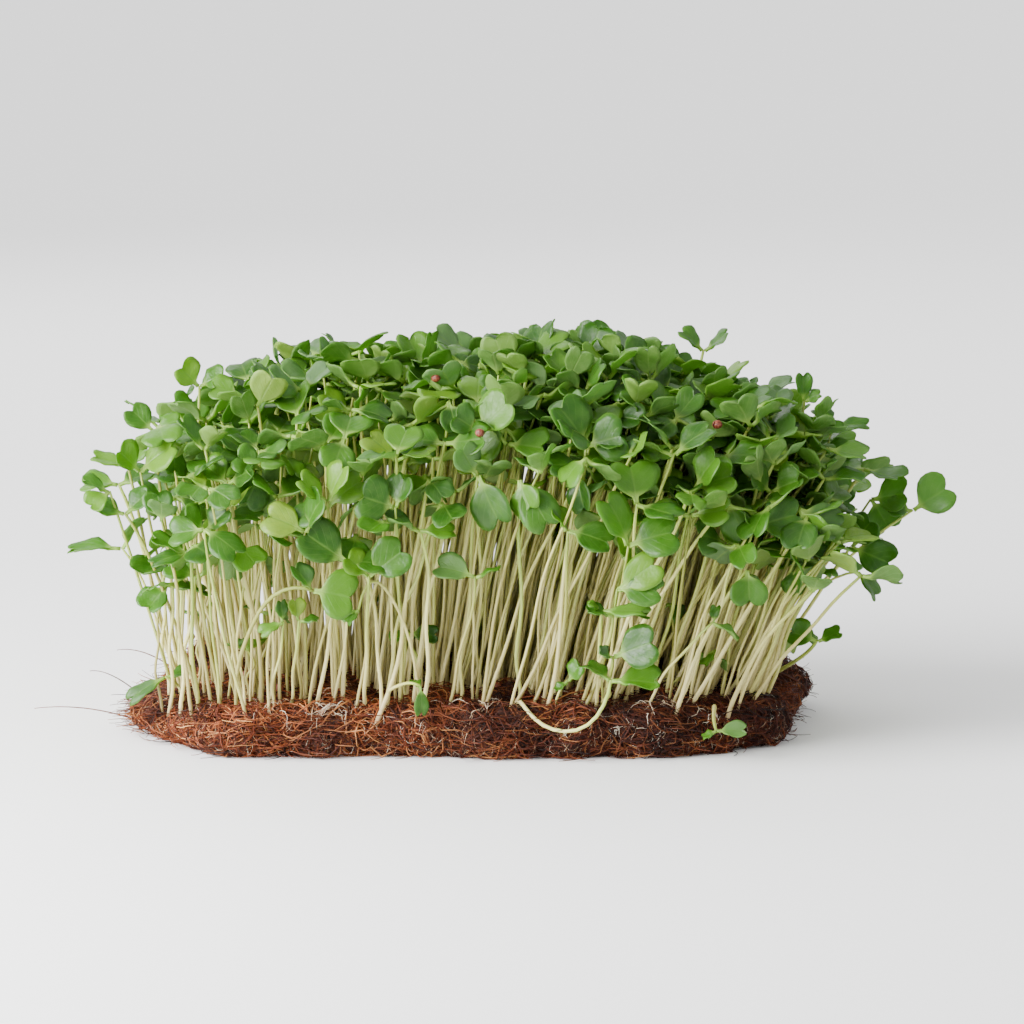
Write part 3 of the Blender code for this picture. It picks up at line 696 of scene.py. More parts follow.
def stem_rings(sprout, grow):
    radius = STEM_RADIUS + grow
    control = sprout["stem"]
    segments = sprout["segments"]
    shares = [i / segments for i in range(segments + 1)]
    places = [curve_at(control, share) for share in shares]
    ways = []
    for share in shares:
        ahead = curve_at(control, min(1, share + STEM_STEP))
        behind = curve_at(control, max(0, share - STEM_STEP))
        ways.append(ahead - behind)
    facing = way(sprout["facing"], 0)
    places.insert(-1, places[-1] - ways[-1].normalized() * (BLADE_THICKNESS + grow))
    ways.insert(-1, ways[-1])
    rings = []
    for place, direction in zip(places, ways):
        direction = direction.normalized()
        u = (facing - direction * facing.dot(direction)).normalized()
        v = direction.cross(u)
        rings.append([place + (u * a + v * b) * radius for a, b in ((1, -1), (1, 1), (-1, 1), (-1, -1))])
    return rings


def sprout_shell(sprout, grow=0.0):
    """Corners and faces of a solid sprout in part.py, against which the others are kept clear."""
    rings = stem_rings(sprout, grow)
    corners = [corner for ring in rings for corner in ring]
    faces = [(3, 2, 1, 0)]
    last = len(rings) - 1
    for ring in range(last):
        sides = ((1, 2), (3, 0)) if ring == last - 1 else ((0, 1), (1, 2), (2, 3), (3, 0))
        low, high = 4 * ring, 4 * ring + 4
        faces += [(low + i, low + j, high + j, high + i) for i, j in sides]
    top, below = 4 * last, 4 * (last - 1)
    faces.append((top, top + 1, top + 2, top + 3))
    for leaf, (i, j) in zip(sprout["leaves"], ((0, 1), (2, 3))):
        base = (corners[top + i] + corners[top + j]) / 2
        upper, lower = blade_outline(base, leaf, sprout["outline"], grow)
        first_upper = len(corners)
        corners += upper
        first_lower = len(corners)
        corners += lower
        count = len(upper)
        above = [top + i, *range(first_upper, first_upper + count), top + j]
        under = [below + i, *range(first_lower, first_lower + count), below + j]
        notch = 1 + count // 2
        fan = [(k, k + 1, notch) for k in range(notch - 1)]
        fan += [(notch, k, k + 1) for k in range(notch + 1, count + 1)]
        fan.append((0, notch, count + 1))
        for a, b, c in fan:
            faces += [(above[a], above[b], above[c]), (under[c], under[b], under[a])]
        for k in range(count + 1):
            faces.append((under[k], under[k + 1], above[k + 1], above[k]))
    return corners, faces


def shell_tree(corners, faces):
    return BVHTree.FromPolygons([tuple(corner) for corner in corners], faces)


def box_of(corners):
    low = [min(corner[k] for corner in corners) - BOX_MARGIN for k in range(3)]
    high = [max(corner[k] for corner in corners) + BOX_MARGIN for k in range(3)]
    return low, high


def boxes_meet(a, b):
    return all(a[0][k] <= b[1][k] and b[0][k] <= a[1][k] for k in range(3))


def is_clear(sprout, taken):
    corners, faces = sprout_shell(sprout, LEAF_CLEARANCE)
    tree, box = shell_tree(corners, faces), box_of(corners)
    return not any(boxes_meet(box, other) and tree.overlap(placed) for placed, other in taken)


def take(sprout, taken):
    corners, faces = sprout_shell(sprout)
    taken.append((shell_tree(corners, faces), box_of(corners)))


def canopy_height(x, y):
    """How high the tallest stems reach over this root."""
    drop_x = (LEFT_DROP if x < CROWN_X else RIGHT_DROP) * abs((x - CROWN_X) / HALF_LENGTH) ** 3
    drop_y = (FRONT_DROP if y < 0 else BACK_DROP) * (y / HALF_ROW) ** 2
    return CROWN_HEIGHT - drop_x - drop_y


def drawn_leaf(heading, draw):
    return (
        heading,
        draw.uniform(*LEAF_PITCH),
        draw.uniform(-LEAF_ROLL, LEAF_ROLL),
        draw.uniform(*BLADE_LENGTH),
        draw.uniform(*BLADE_WIDTH),
        draw.uniform(*BLADE_CUP),
    )


def drawn_sprout(x, y, draw, spread):
    foot = Vector((x, y, mat_height(x, y) - ROOT_SUNK))
    stray_x, stray_y = TIP_STRAY[0] + spread, TIP_STRAY[1] + spread
    tip_x = x + LEAN_X[0] + LEAN_X[1] * x + draw.triangular(-stray_x, stray_x)
    tip = Vector(
        (
            min(max(tip_x, TIP_REACH[0]), TIP_REACH[1]),
            y + LEAN_Y * y + draw.triangular(-stray_y, stray_y),
            canopy_height(x, y) - HEIGHT_SPREAD * draw.random() ** HEIGHT_BIAS - spread * draw.random(),
        )
    )
    bow = strayed(STEM_BOW, draw)
    facing = draw.uniform(0, 360)
    return {
        "stem": [foot, foot.lerp(tip, 0.5) + bow - Vector((tip.x - x, tip.y - y, 0)) * STEM_LAG, tip],
        "segments": STEM_SEGMENTS,
        "facing": facing,
        "leaves": (
            drawn_leaf(facing + draw.uniform(-LEAF_TURN, LEAF_TURN), draw),
            drawn_leaf(facing + 180 + draw.uniform(-LEAF_TURN, LEAF_TURN), draw),
        ),
        "outline": LEAF_OUTLINE,
    }


def lone_sprout(points, leaves):
    """One of the sprouts that are listed one by one, from its stem's points and its two leaves."""
    (x, y), *rest = points
    stem = [Vector((x, y, mat_height(x, y) - ROOT_SUNK)), Vector((x, y, mat_height(x, y) + FOOT_RISE))]
    stem += [Vector(point) for point in rest]
    first, second = leaves[0][0], leaves[1][0]
    return {
        "stem": stem,
        "segments": LONE_SEGMENTS if len(points) < 6 else CURLED_SEGMENTS,
        "facing": first + ((second - first) % 360 - 180) / 2,
        "leaves": tuple((*leaf, LONE_CUP) for leaf in leaves),
        "outline": FINE_LEAF_OUTLINE,
    }


def clump_centres(draw):
    places = []
    for row in range(CLUMP_ROWS):
        columns = CLUMP_COLUMNS - row % 2
        for column in range(columns):
            x = CLUMP_MIDDLE + (column - (columns - 1) / 2) * CLUMP_STEP_X
            y = (row - (CLUMP_ROWS - 1) / 2) * CLUMP_STEP_Y
            move_x = draw.uniform(-CLUMP_JITTER, CLUMP_JITTER)
            move_y = draw.uniform(-CLUMP_JITTER, CLUMP_JITTER)
            places.append((x + move_x, y + move_y))
    return places


def pull_in(x, y):
    """The place, drawn in from the mat's round corners."""
    limit_x, limit_y = MAT_LENGTH / 2 - CORNER_RADIUS, MAT_DEPTH / 2 - CORNER_RADIUS
    over = Vector((max(0.0, abs(x) - limit_x), max(0.0, abs(y) - limit_y), 0))
    most = CORNER_RADIUS - (CUT_CORNER_KEEP if x < 0 and y < 0 else CORNER_KEEP)
    if over.length > most:
        over = over.normalized() * most
    return (
        math.copysign(min(abs(x), limit_x) + over.x, x),
        math.copysign(min(abs(y), limit_y) + over.y, y),
    )


def coat_centre(x, y):
    return Vector((x, y, mat_height(x, y) + COAT_RADIUS + COAT_LIFT))


def plan_lone(taken):
    lone = {}
    for name, (points, leaves) in LONE_SPROUTS.items():
        lone[name] = lone_sprout(points, leaves)
        take(lone[name], taken)
    return lone


def plan_clumps(draw, taken):
    """The clumps as (centre, sprouts), each sprout clear of all that is already placed."""
    lone_roots = [Vector(points[0]) for points, _ in LONE_SPROUTS.values()]
    clumps = []
    for x, y in clump_centres(draw):
        x, y = pull_in(x, y)
        for root in lone_roots:
            apart = Vector((x, y)) - root
            least = PLUG_RADIUS + LONE_PLUG_RADIUS + PLUG_SPACING
            if apart.length < least:
                x, y = root + apart.normalized() * least
        sprouts = []
        turn = any_turn(draw)
        for k in range(SPROUTS_A_CLUMP):
            angle = turn + 2 * math.pi * k / SPROUTS_A_CLUMP
            foot = x + ROOT_CIRCLE * math.cos(angle), y + ROOT_CIRCLE * math.sin(angle)
            for attempt in range(TRIES):
                sprout = drawn_sprout(*foot, draw, LATE_STRAY * attempt / TRIES)
                if is_clear(sprout, taken):
                    sprouts.append(sprout)
                    take(sprout, taken)
                    break
        clumps.append(((x, y), sprouts))
    return clumps


def plan_solids():
    """The lone sprouts and the clumps, exactly as part.py plans them."""
    taken = []
    for x, y in SEED_COATS:
        centre = coat_centre(x, y)
        reach = COAT_RADIUS + COAT_ROOM
        cube = [centre + Vector((a, b, c)) * reach for a in (-1, 1) for b in (-1, 1) for c in (-1, 1)]
        walls = [(0, 1, 3, 2), (4, 6, 7, 5), (0, 4, 5, 1), (2, 3, 7, 6), (0, 2, 6, 4), (1, 5, 7, 3)]
        taken.append((shell_tree(cube, walls), box_of(cube)))
    lone = plan_lone(taken)
    return lone, plan_clumps(random.Random(SEED), taken)


def leaf_centres(sprout):
    tip = sprout["stem"][-1]
    return [tip + way(leaf[0], leaf[1]) * leaf[3] * LEAF_MIDDLE for leaf in sprout["leaves"]]


def inside_mat(x, y, edge):
    """True if this place is at least edge inside the mat's rounded outline."""
    over_x = max(0.0, abs(x) - (MAT_LENGTH / 2 - CORNER_RADIUS))
    over_y = max(0.0, abs(y) - (MAT_DEPTH / 2 - CORNER_RADIUS))
    return math.hypot(over_x, over_y) < CORNER_RADIUS - edge


def is_wanted(x, y, draw):
    """True if a sprout may grow here. The front and the left end are kept sparse."""
    for limit_x, limit_y, share in SPARSE:
        if x < limit_x and y < limit_y:
            return draw.random() < share
    return True


def fill_leaf(heading, pitch, scale, draw):
    return (
        heading,
        pitch + draw.uniform(-FILL_SPLAY, FILL_SPLAY),
        draw.uniform(-FILL_ROLL, FILL_ROLL),
        draw.uniform(*FILL_LENGTH) * scale,
        draw.uniform(*FILL_WIDTH) * scale,
        draw.uniform(*FILL_CUP),
    )


def fill_sprout(x, y, short, draw):
    foot = Vector((x, y, mat_height(x, y) - ROOT_SUNK))
    top = canopy_height(x, y)
    drop = FILL_DROP + bumps_at(x, FILL_DIPS)
    if short:
        height = draw.uniform(*SHORT_HEIGHT)
    else:
        height = top - drop - FILL_SPREAD * draw.random() ** FILL_BIAS
    rise = height / top
    lean = LEAN_X[0] + LEAN_X[1] * x + bumps_at(x, (FILL_FAN,))
    tip_x = x + lean * rise + draw.triangular(-FILL_STRAY[0], FILL_STRAY[0])
    tip = Vector(
        (
            min(max(tip_x, FILL_REACH[0]), FILL_REACH[1]),
            y + LEAN_Y * y * rise + draw.triangular(-FILL_STRAY[1], FILL_STRAY[1]),
            height,
        )
    )
    lag = Vector((tip.x - x, tip.y - y, 0)) * FILL_LAG
    bends = [foot.lerp(tip, share) + strayed(FILL_BOW, draw) - lag for share in FILL_BENDS]
    facing = draw.uniform(0, 360)
    pitch = draw.uniform(*FILL_PITCH)
    scale = SHORT_LEAF if short else 1.0
    return {
        "stem": [foot, *bends, tip],
        "leaves": (
            fill_leaf(facing + draw.uniform(-FILL_TURN, FILL_TURN), pitch, scale, draw),
            fill_leaf(facing + 180 + draw.uniform(-FILL_TURN, FILL_TURN), pitch, scale, draw),
        ),
    }


def plan_fill(draw, standing):
    """Sprouts that stand between the others, each with its leaves where there is most room."""
    roots = [sprout["stem"][0].xy for sprout in standing]
    centres = [tuple(centre) for sprout in standing for centre in leaf_centres(sprout)]
    filled = []
    while len(filled) < FILL_COUNT:
        x = draw.uniform(-MAT_LENGTH / 2, MAT_LENGTH / 2)
        y = draw.uniform(-MAT_DEPTH / 2, MAT_DEPTH / 2)
        if not inside_mat(x, y, FILL_EDGE) or not is_wanted(x, y, draw):
            continue
        if min((root - Vector((x, y))).length for root in roots) < FILL_GAP:
            continue
        short = draw.random() < SHORT_SHARE
        others = np.array(centres)
        best, most_room = None, -1.0
        for _ in range(FILL_TRIES):
            sprout = fill_sprout(x, y, short, draw)
            mine = np.array([tuple(centre) for centre in leaf_centres(sprout)])
            room = np.linalg.norm(others[None] - mine[:, None], axis=2).min()
            if room > most_room:
                best, most_room = sprout, room
        filled.append(best)
        roots.append(Vector((x, y)))
        centres += [tuple(centre) for centre in leaf_centres(best)]
    return filled


def put_in_scene(name, data):
    made = bpy.data.objects.new(name, data)
    bpy.context.scene.collection.objects.link(made)
    return made


class Gather:
    """Collects the quads of one piece, in millimetres, with their coordinates and material slots."""

    def __init__(self):
        self.points = []
        self.faces = []
        self.coords = []
        self.slots = []
        self.count = 0

    def add(self, points, faces, coords, slots):
        self.points.append(points)
        self.faces.append(faces + self.count)
        self.coords.append(coords[faces])
        self.slots.append(slots)
        self.count += len(points)

    def piece(self, name, materials, slot):
        mesh = bpy.data.meshes.new(name)
        faces = np.concatenate(self.faces)
        mesh.from_pydata((np.concatenate(self.points) * MM).tolist(), [], faces.tolist())
        for material in materials:
            mesh.materials.append(material)
        mesh.polygons.foreach_set("material_index", np.concatenate(self.slots).astype(np.int32))
        layer = mesh.uv_layers.new(name="along")
        layer.uv.foreach_set("vector", np.concatenate(self.coords).reshape(-1).astype(np.float32))
        mesh.shade_smooth()
        made = put_in_scene(name, mesh)
        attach(made, "root")
        return made


def tubes(gather, paths, radii, sides, slot):
    """Adds a tube with an even number of sides along each path.

    paths is (tube, ring, xyz) and radii is (tube, ring).
    """
    count, rings = paths.shape[:2]
    ways = np.gradient(paths, axis=1)
    ways /= np.linalg.norm(ways, axis=2, keepdims=True)
    across = np.cross(ways[:, 0], ASKEW)
    frames = np.empty_like(paths)
    for ring in range(rings):
        along = ways[:, ring]
        across = across - along * (across * along).sum(axis=1, keepdims=True)
        across = across / np.linalg.norm(across, axis=1, keepdims=True)
        frames[:, ring] = across
    third = np.cross(ways, frames)
    turns = np.arange(sides) * 2 * math.pi / sides
    spokes = frames[:, :, None] * np.cos(turns)[:, None] + third[:, :, None] * np.sin(turns)[:, None]
    points = paths[:, :, None] + radii[:, :, None, None] * spokes
    faces = []
    for ring in range(rings - 1):
        for k in range(sides):
            low, high, m = ring * sides, (ring + 1) * sides, (k + 1) % sides
            faces.append((low + k, low + m, high + m, high + k))
    last = (rings - 1) * sides
    for k in range(1, sides - 1, 2):
        faces.append((0, k + 2, k + 1, k))
        faces.append((last, last + k, last + k + 1, last + k + 2))
    faces = np.array(faces)
    around, up = np.meshgrid(np.arange(sides) / sides, np.arange(rings) / (rings - 1))
    coords = np.stack([around.ravel(), up.ravel()], axis=1)
    all_faces = (faces[None] + (np.arange(count) * rings * sides)[:, None, None]).reshape(-1, 4)
    all_coords = np.tile(coords, (count, 1))
    gather.add(points.reshape(-1, 3), all_faces, all_coords, np.full(len(all_faces), slot))


def strands(paths, radii, floor):
    """Thin tubes along these paths, held this far above the ground."""
    gather = Gather()
    paths = np.array(paths)
    paths[:, :, 2] = np.maximum(paths[:, :, 2], floor)
    tubes(gather, paths, np.array(radii), FIBRE_SIDES, 0)
    return gather


def leaf_grid():
    """Places on a leaf, its quads and its border.

    A place is three shares: reach, side and signed distance from the midrib.
    """
    columns = [-share for share in reversed(LEAF_COLUMNS[1:])] + list(LEAF_COLUMNS)
    places = []
    for reach, half, midrib in LEAF_ROWS:
        for column in columns:
            out = abs(column)
            places.append((midrib + (reach - midrib) * out, half * column, column))
    width = len(columns)
    rows = len(LEAF_ROWS)
    upper = []
    for r in range(rows - 1):
        for c in range(width - 1):
            a = r * width + c
            upper.append((a, a + width, a + width + 1, a + 1))
    border = [r * width for r in range(rows)]
    border += [(rows - 1) * width + c for c in range(1, width)]
    border += [r * width + width - 1 for r in range(rows - 2, -1, -1)]
    border += range(width - 2, 0, -1)
    return np.array(places), np.array(upper), border


def blades(gather, leaves, draw):
    """Adds each (base, leaf) as a thin closed blade. Slot 1 is its upper face and slot 2 the lower."""
    places, upper, border = leaf_grid()
    half = len(places)
    lower = upper[:, ::-1] + half
    ring = list(zip(border, border[1:] + border[:1]))
    edge = np.array([(a + half, b + half, b, a) for a, b in ring])
    faces = np.concatenate([upper, edge, lower])
    slots = np.concatenate([np.full(len(upper) + len(edge), 1), np.full(len(lower), 2)])
    reach, side, column = places.T
    out = np.abs(column)
    stalk_end, blend = LEAF_STALK
    body = np.clip((reach - stalk_end) / blend, 0, 1)
    thickness = STALK_THICKNESS + (LEAF_THICKNESS - STALK_THICKNESS) * body
    ripple, waves, shift = LEAF_RIPPLE
    coords = np.stack([0.5 + 0.5 * column, reach], axis=1)
    coords = np.concatenate([coords, coords])
    for base, (heading, pitch, roll, length, width, cup) in leaves:
        along, across, up = (np.array(axis) for axis in leaf_axes(heading, pitch, roll))
        x = reach * length * LEAF_GROWTH
        w = side * width * LEAF_GROWTH / 2
        lopsided = 1 + draw.uniform(-LEAF_LOPSIDED, LEAF_LOPSIDED) * np.sign(side)
        phase = any_turn(draw)
        height = cup * np.abs(w) - draw.uniform(*LEAF_CURL) * x * x / length
        height += LEAF_PUFF * np.sin(math.pi * out) * body
        height += draw.uniform(*LEAF_MARGIN) * out**3 * body
        height += draw.uniform(-LEAF_TWIST, LEAF_TWIST) * w * reach
        height += ripple * np.sin(2 * math.pi * waves * reach + phase + shift * side) * out * body
        top = np.array(base) + along * x[:, None] + across * (w * lopsided)[:, None]
        top += up * height[:, None]
        below = top - up * thickness[:, None]
        gather.add(np.concatenate([top, below]), faces, coords, slots)


def sprout_meshes(gather, sprouts, draw):
    """Adds the fine stems and leaves of these sprouts."""
    paths, radii, leaves = [], [], []
    for sprout in sprouts:
        control = sprout["stem"]
        foot = control[0] - (control[1] - control[0]).normalized() * STEM_FOOT
        size = draw.uniform(*STEM_SIZES) * STEM_RADIUS
        turn = any_turn(draw)
        waves = draw.uniform(*STEM_WAVES)
        path = [foot]
        for i in range(STEM_RINGS - 1):
            t = i / (STEM_RINGS - 2)
            sway = STEM_SWAY * math.sin(math.pi * t) * math.sin(2 * math.pi * waves * t + turn)
            path.append(curve_at(control, t) + flat_way(turn) * sway)
        paths.append([tuple(point) for point in path])
        radii.append(np.interp(np.linspace(0, 1, STEM_RINGS), STEM_TAPER_AT, STEM_TAPER) * size)
        for leaf in sprout["leaves"]:
            leaves.append((path[-1] + way(leaf[0], 0) * LEAF_OFFSET, leaf))
    tubes(gather, np.array(paths), np.array(radii), STEM_SIDES, 0)
    blades(gather, leaves, draw)


def smooth_profile(steps):
    """The rim's profile from the underside up, smoothed: (inset, height, tongue share) rows."""
    knots = np.array(RIM_PROFILE)
    at = np.linspace(0, len(knots) - 1, steps)
    linear = np.stack([np.interp(at, np.arange(len(knots)), knots[:, k]) for k in range(3)], axis=1)
    eased = linear.copy()
    eased[1:-1] = (linear[:-2] + 2 * linear[1:-1] + linear[2:]) / 4
    return eased


def mound_height(x, y):
    return sum(
        height * math.exp(-((x - middle_x) ** 2 + (y - middle_y) ** 2) / spread**2)
        for middle_x, middle_y, height, spread in MOUNDS
    )


def fine_rim(share, tongue_share):
    """How far the fine rim stands out at this share of the way round."""
    strength = FINE_BUMP_LEAST + (1 - FINE_BUMP_LEAST) * tongue_share
    return rim_wave(share, tongue_share) + bumps_at(share, FINE_BUMPS) * strength


def mat_core():
    """The felt under the fibres, a little inside the solid mat, its coir brown painted darker for the
    shade among the fibres. Returns its points and faces.
    """
    profile = smooth_profile(CORE_PROFILE_STEPS)
    points, faces = [], []
    for inset, height, tongue_share in profile:
        for i in range(CORE_ROUND):
            share = i / CORE_ROUND
            place, out = rim_point(share)
            level = height * thickness_share(place.x)
            reach = fine_rim(share, tongue_share) - inset - CORE_INSET
            at = place + out * reach + Vector((0, 0, level))
            lump = lump_at(at, RIM_LUMPS)
            at += out * lump
            risen = at.z + LUMP_RISE * lump * (height > LUMP_RISE_FROM)
            at.z = min(max(risen, CORE_FLOOR), level + CORE_CEILING)
            points.append(tuple(at))
    edge = points[-CORE_ROUND:]
    for k in range(1, CORE_TOP_RINGS):
        scale = 1 - k / CORE_TOP_RINGS
        for x, y, z in edge:
            x, y = x * scale, y * scale
            lump = lump_at(Vector((x, y, 0)), TOP_LUMPS)
            level = mat_height(x, y) - CORE_INSET + lump + mound_height(x, y)
            points.append((x, y, z + (level - z) * min(1.0, k / 2)))
    rings = len(profile) + CORE_TOP_RINGS - 1
    for ring in range(rings - 1):
        for i in range(CORE_ROUND):
            low, high = ring * CORE_ROUND, (ring + 1) * CORE_ROUND
            j = (i + 1) % CORE_ROUND
            faces.append((low + i, low + j, high + j, high + i))
    faces.append(tuple(reversed(range(CORE_ROUND))))
    faces.append(tuple((rings - 1) * CORE_ROUND + i for i in range(CORE_ROUND)))
    return points, faces


def walk(skin, start, heading, length, rise, wander, draw):
    """The points of a strand that creeps over the mat's skin from start, and rises off it in loops."""
    place, normal, _, _ = skin.find_nearest(start)
    heading = heading - normal * heading.dot(normal)
    heading.normalize()
    step = length / (FIBRE_RINGS - 1)
    bend = draw.gauss(0, wander)
    loops, phase = draw.uniform(*STRAND_LOOPS), draw.uniform(*STRAND_PHASE)
    path = []
    for ring in range(FIBRE_RINGS):
        t = ring / (FIBRE_RINGS - 1)
        lift = rise * abs(math.sin(math.pi * (t * loops + phase))) - STRAND_SUNK
        path.append(tuple(place + normal * lift))
        side = normal.cross(heading)
        bend += draw.gauss(0, wander)
        heading = (heading + side * bend).normalized()
        place, normal, _, _ = skin.find_nearest(place + heading * step)
        heading = heading - normal * heading.dot(normal)
        heading.normalize()
    return path


def strand_start(zone, draw):
    """A place on the mat's rim, top or underside, and a way to set out from there."""
    if zone == "rim":
        share = draw.random()
        place, out = rim_point(share)
        start = place + out * (rim_wave(share, MID_RIM) - RIM_SUNK)
        start.z = draw.uniform(*RIM_HEIGHTS) * thickness_share(place.x)
        return start, left_of(out) * draw.choice((-1, 1)) + Vector((0, 0, draw.gauss(0, FIBRE_SLANT)))
    while True:
        x = draw.uniform(-MAT_LENGTH / 2, MAT_LENGTH / 2)
        y = draw.uniform(-MAT_DEPTH / 2, MAT_DEPTH / 2)
        if inside_mat(x, y, FIBRE_EDGE):
            break
    z = mat_height(x, y) if zone == "top" else 0.0
    return Vector((x, y, z)), flat_way(any_turn(draw))


def coir_strands(skin, zone, count, draw):
    paths, radii = [], []
    taper = np.interp(np.linspace(0, 1, FIBRE_RINGS), FIBRE_TAPER_AT, FIBRE_TAPER)
    thin, thick = FIBRE_RADIUS
    for _ in range(count):
        start, heading = strand_start(zone, draw)
        while noise.noise(start * FIBRE_CLUMPS) < draw.uniform(*FIBRE_BARE):
            start, heading = strand_start(zone, draw)
        length = draw.uniform(*FIBRE_LENGTH)
        rise = UNDER_RISE if zone == "under" else FIBRE_RISE * draw.random() ** FIBRE_RISE_BIAS
        paths.append(walk(skin, start, heading, length, rise, FIBRE_WANDER, draw))
        radii.append((thin + (thick - thin) * draw.random() ** 2) * taper)
    return strands(paths, radii, FIBRE_FLOOR)


def loose_strand(start, out, reach, lift, bend):
    """A strand that leaves the mat at start and bends freely in the air."""
    side = left_of(out)
    control = [start - out * LOOSE_SUNK]
    for along, up, aside in LOOSE_ARCH:
        control.append(start + out * reach * along + Vector((0, 0, lift * up)) + side * bend * aside)
    control.append(start + out * reach + side * bend + Vector((0, 0, lift)))
    return [tuple(curve_at(control, i / (LOOSE_RINGS - 1))) for i in range(LOOSE_RINGS)]


def coir_fringe(draw):
    """Fibres that stand out of the rim, the long loose ones at the left end, and the ragged tongue."""
    paths, radii = [], []
    for share, height, reach, lift, bend in LONG_FIBRES:
        place, out = rim_point(share)
        level = Vector((0, 0, height * thickness_share(place.x)))
        start = place + out * rim_wave(share, HIGH_RIM) + level
        paths.append(loose_strand(start, out, reach, lift, bend))
        radii.append(np.linspace(*LONG_RADIUS, LOOSE_RINGS))
    for _ in range(FRINGE_COUNT):
        share = draw.random()
        place, out = rim_point(share)
        height = draw.uniform(*FRINGE_HEIGHTS)
        reach = draw.uniform(*FRINGE_REACH) * draw.random() ** FRINGE_BIAS
        level = Vector((0, 0, height * thickness_share(place.x)))
        start = place + out * rim_wave(share, MID_RIM) + level
        lift = draw.uniform(*FRINGE_LIFT) * reach
        paths.append(loose_strand(start, out, reach, lift, draw.uniform(-FRINGE_BEND, FRINGE_BEND)))
        radii.append(np.linspace(draw.uniform(*FRINGE_RADIUS), FRINGE_TIP, LOOSE_RINGS))
    for _ in range(TONGUE_COUNT):
        share = draw.gauss(*TONGUE)
        place, out = rim_point(share)
        reach = draw.uniform(*TONGUE_REACH) * draw.random()
        level = Vector((0, 0, draw.uniform(*TONGUE_HEIGHTS)))
        start = place + out * (fine_rim(share, HIGH_RIM) - TONGUE_SUNK) + level
        lift = draw.uniform(-TONGUE_LIFT, TONGUE_LIFT) * reach
        bend = draw.uniform(-TONGUE_BEND, TONGUE_BEND)
        paths.append(loose_strand(start, out, reach + TONGUE_SUNK, lift, bend))
        radii.append(np.linspace(draw.uniform(*TONGUE_RADIUS), TONGUE_TIP, LOOSE_RINGS))
    return strands(paths, radii, LOOSE_FLOOR)


def root_hairs(skin, roots, draw):
    """White roots: tufts at the front, others at the stems' feet, and single ones down the rim."""
    paths, radii = [], []
    front = [root for root in roots if root.y < FRONT_FROM or abs(root.x) > END_FROM]
    for x, y, count in KNOTS:
        for _ in range(count):
            away_x, away_y = KNOT_SPREAD
            start = Vector((x + draw.gauss(0, away_x), y + draw.gauss(0, away_y), mat_height(x, y)))
            heading = Vector((draw.gauss(0, 1), draw.gauss(*KNOT_HEADING), 0))
            length = draw.uniform(*KNOT_LENGTH)
            paths.append(walk(skin, start, heading, length, KNOT_RISE, KNOT_WANDER, draw))
            radii.append(np.linspace(draw.uniform(*KNOT_RADIUS), ROOT_TIP, FIBRE_RINGS))
    while len(paths) < ROOT_COUNT:
        if draw.random() < FOOT_ROOTS:
            root = draw.choice(front)
            starts = [Vector((root.x, root.y, mat_height(root.x, root.y)))] * ROOTS_A_FOOT
            ways = [flat_way(any_turn(draw)) for _ in starts]
        else:
            # Along the front half of the rim
            share = 0.5 + 0.5 * draw.random()
            place, out = rim_point(share)
            reach = ROOT_PROUD + rim_wave(share, MID_RIM)
            starts = [place + out * reach + Vector((0, 0, draw.uniform(*ROOT_HEIGHTS)))]
            ways = [left_of(out) * draw.gauss(0, ROOT_SLANT) + Vector((0, 0, -1))]
        for start, heading in zip(starts, ways):
            length = draw.uniform(*ROOT_LENGTH)
            paths.append(walk(skin, start, heading, length, ROOT_RISE, ROOT_WANDER, draw))
            radii.append(np.linspace(draw.uniform(*ROOT_RADIUS), ROOT_TIP, FIBRE_RINGS))
    return strands(paths, radii, LOOSE_FLOOR)


def seed_coat(gather, centre, radius, draw):
    """A shed seed coat: a round skin, split down one side and hollow."""
    rings, sides = COAT_RINGS, COAT_SIDES
    turn = any_turn(draw)
    tilt = draw.uniform(-COAT_TILT, COAT_TILT)
    pole, span = COAT_POLES
    points, coords = [], []
    for size in (1.0, COAT_INSIDE):
        for r in range(rings):
            polar = math.pi * (pole + span * r / (rings - 1))
            for s in range(sides):
                gap = COAT_SPLIT * math.sin(polar)
                around = gap / 2 + (2 * math.pi - gap) * s / (sides - 1) + turn
                dent = 1 + COAT_DENT * noise.noise(Vector((s * 0.4, r * 0.5, centre.x)))
                x = math.sin(polar) * math.cos(around)
                y = COAT_SQUASH[0] * math.sin(polar) * math.sin(around)
                z = COAT_SQUASH[1] * math.cos(polar)
                spot = Vector((x, y, z))
                y = spot.y * math.cos(tilt) - spot.z * math.sin(tilt)
                z = spot.y * math.sin(tilt) + spot.z * math.cos(tilt)
                points.append(tuple(centre + Vector((spot.x, y, z)) * radius * size * dent))
                coords.append((s / (sides - 1), r / (rings - 1)))
    faces = []
    inner = rings * sides
    for r in range(rings - 1):
        for s in range(sides - 1):
            a = r * sides + s
            faces.append((a, a + sides, a + sides + 1, a + 1))
            faces.append((inner + a + 1, inner + a + sides + 1, inner + a + sides, inner + a))
        for s, flip in ((0, False), (sides - 1, True)):
            a = r * sides + s
            lip = (a, inner + a, inner + a + sides, a + sides)
            faces.append(lip[::-1] if flip else lip)
    for s in range(sides - 1):
        for r, flip in ((0, True), (rings - 1, False)):
            a = r * sides + s
            lip = (a, inner + a, inner + a + 1, a + 1)
            faces.append(lip[::-1] if flip else lip)
    gather.add(np.array(points), np.array(faces), np.array(coords), np.zeros(len(faces)))


def new_material(name):
    material = bpy.data.materials.new(name)
    material.use_nodes = True
    tree = material.node_tree
    return material, tree, tree.nodes["Principled BSDF"]


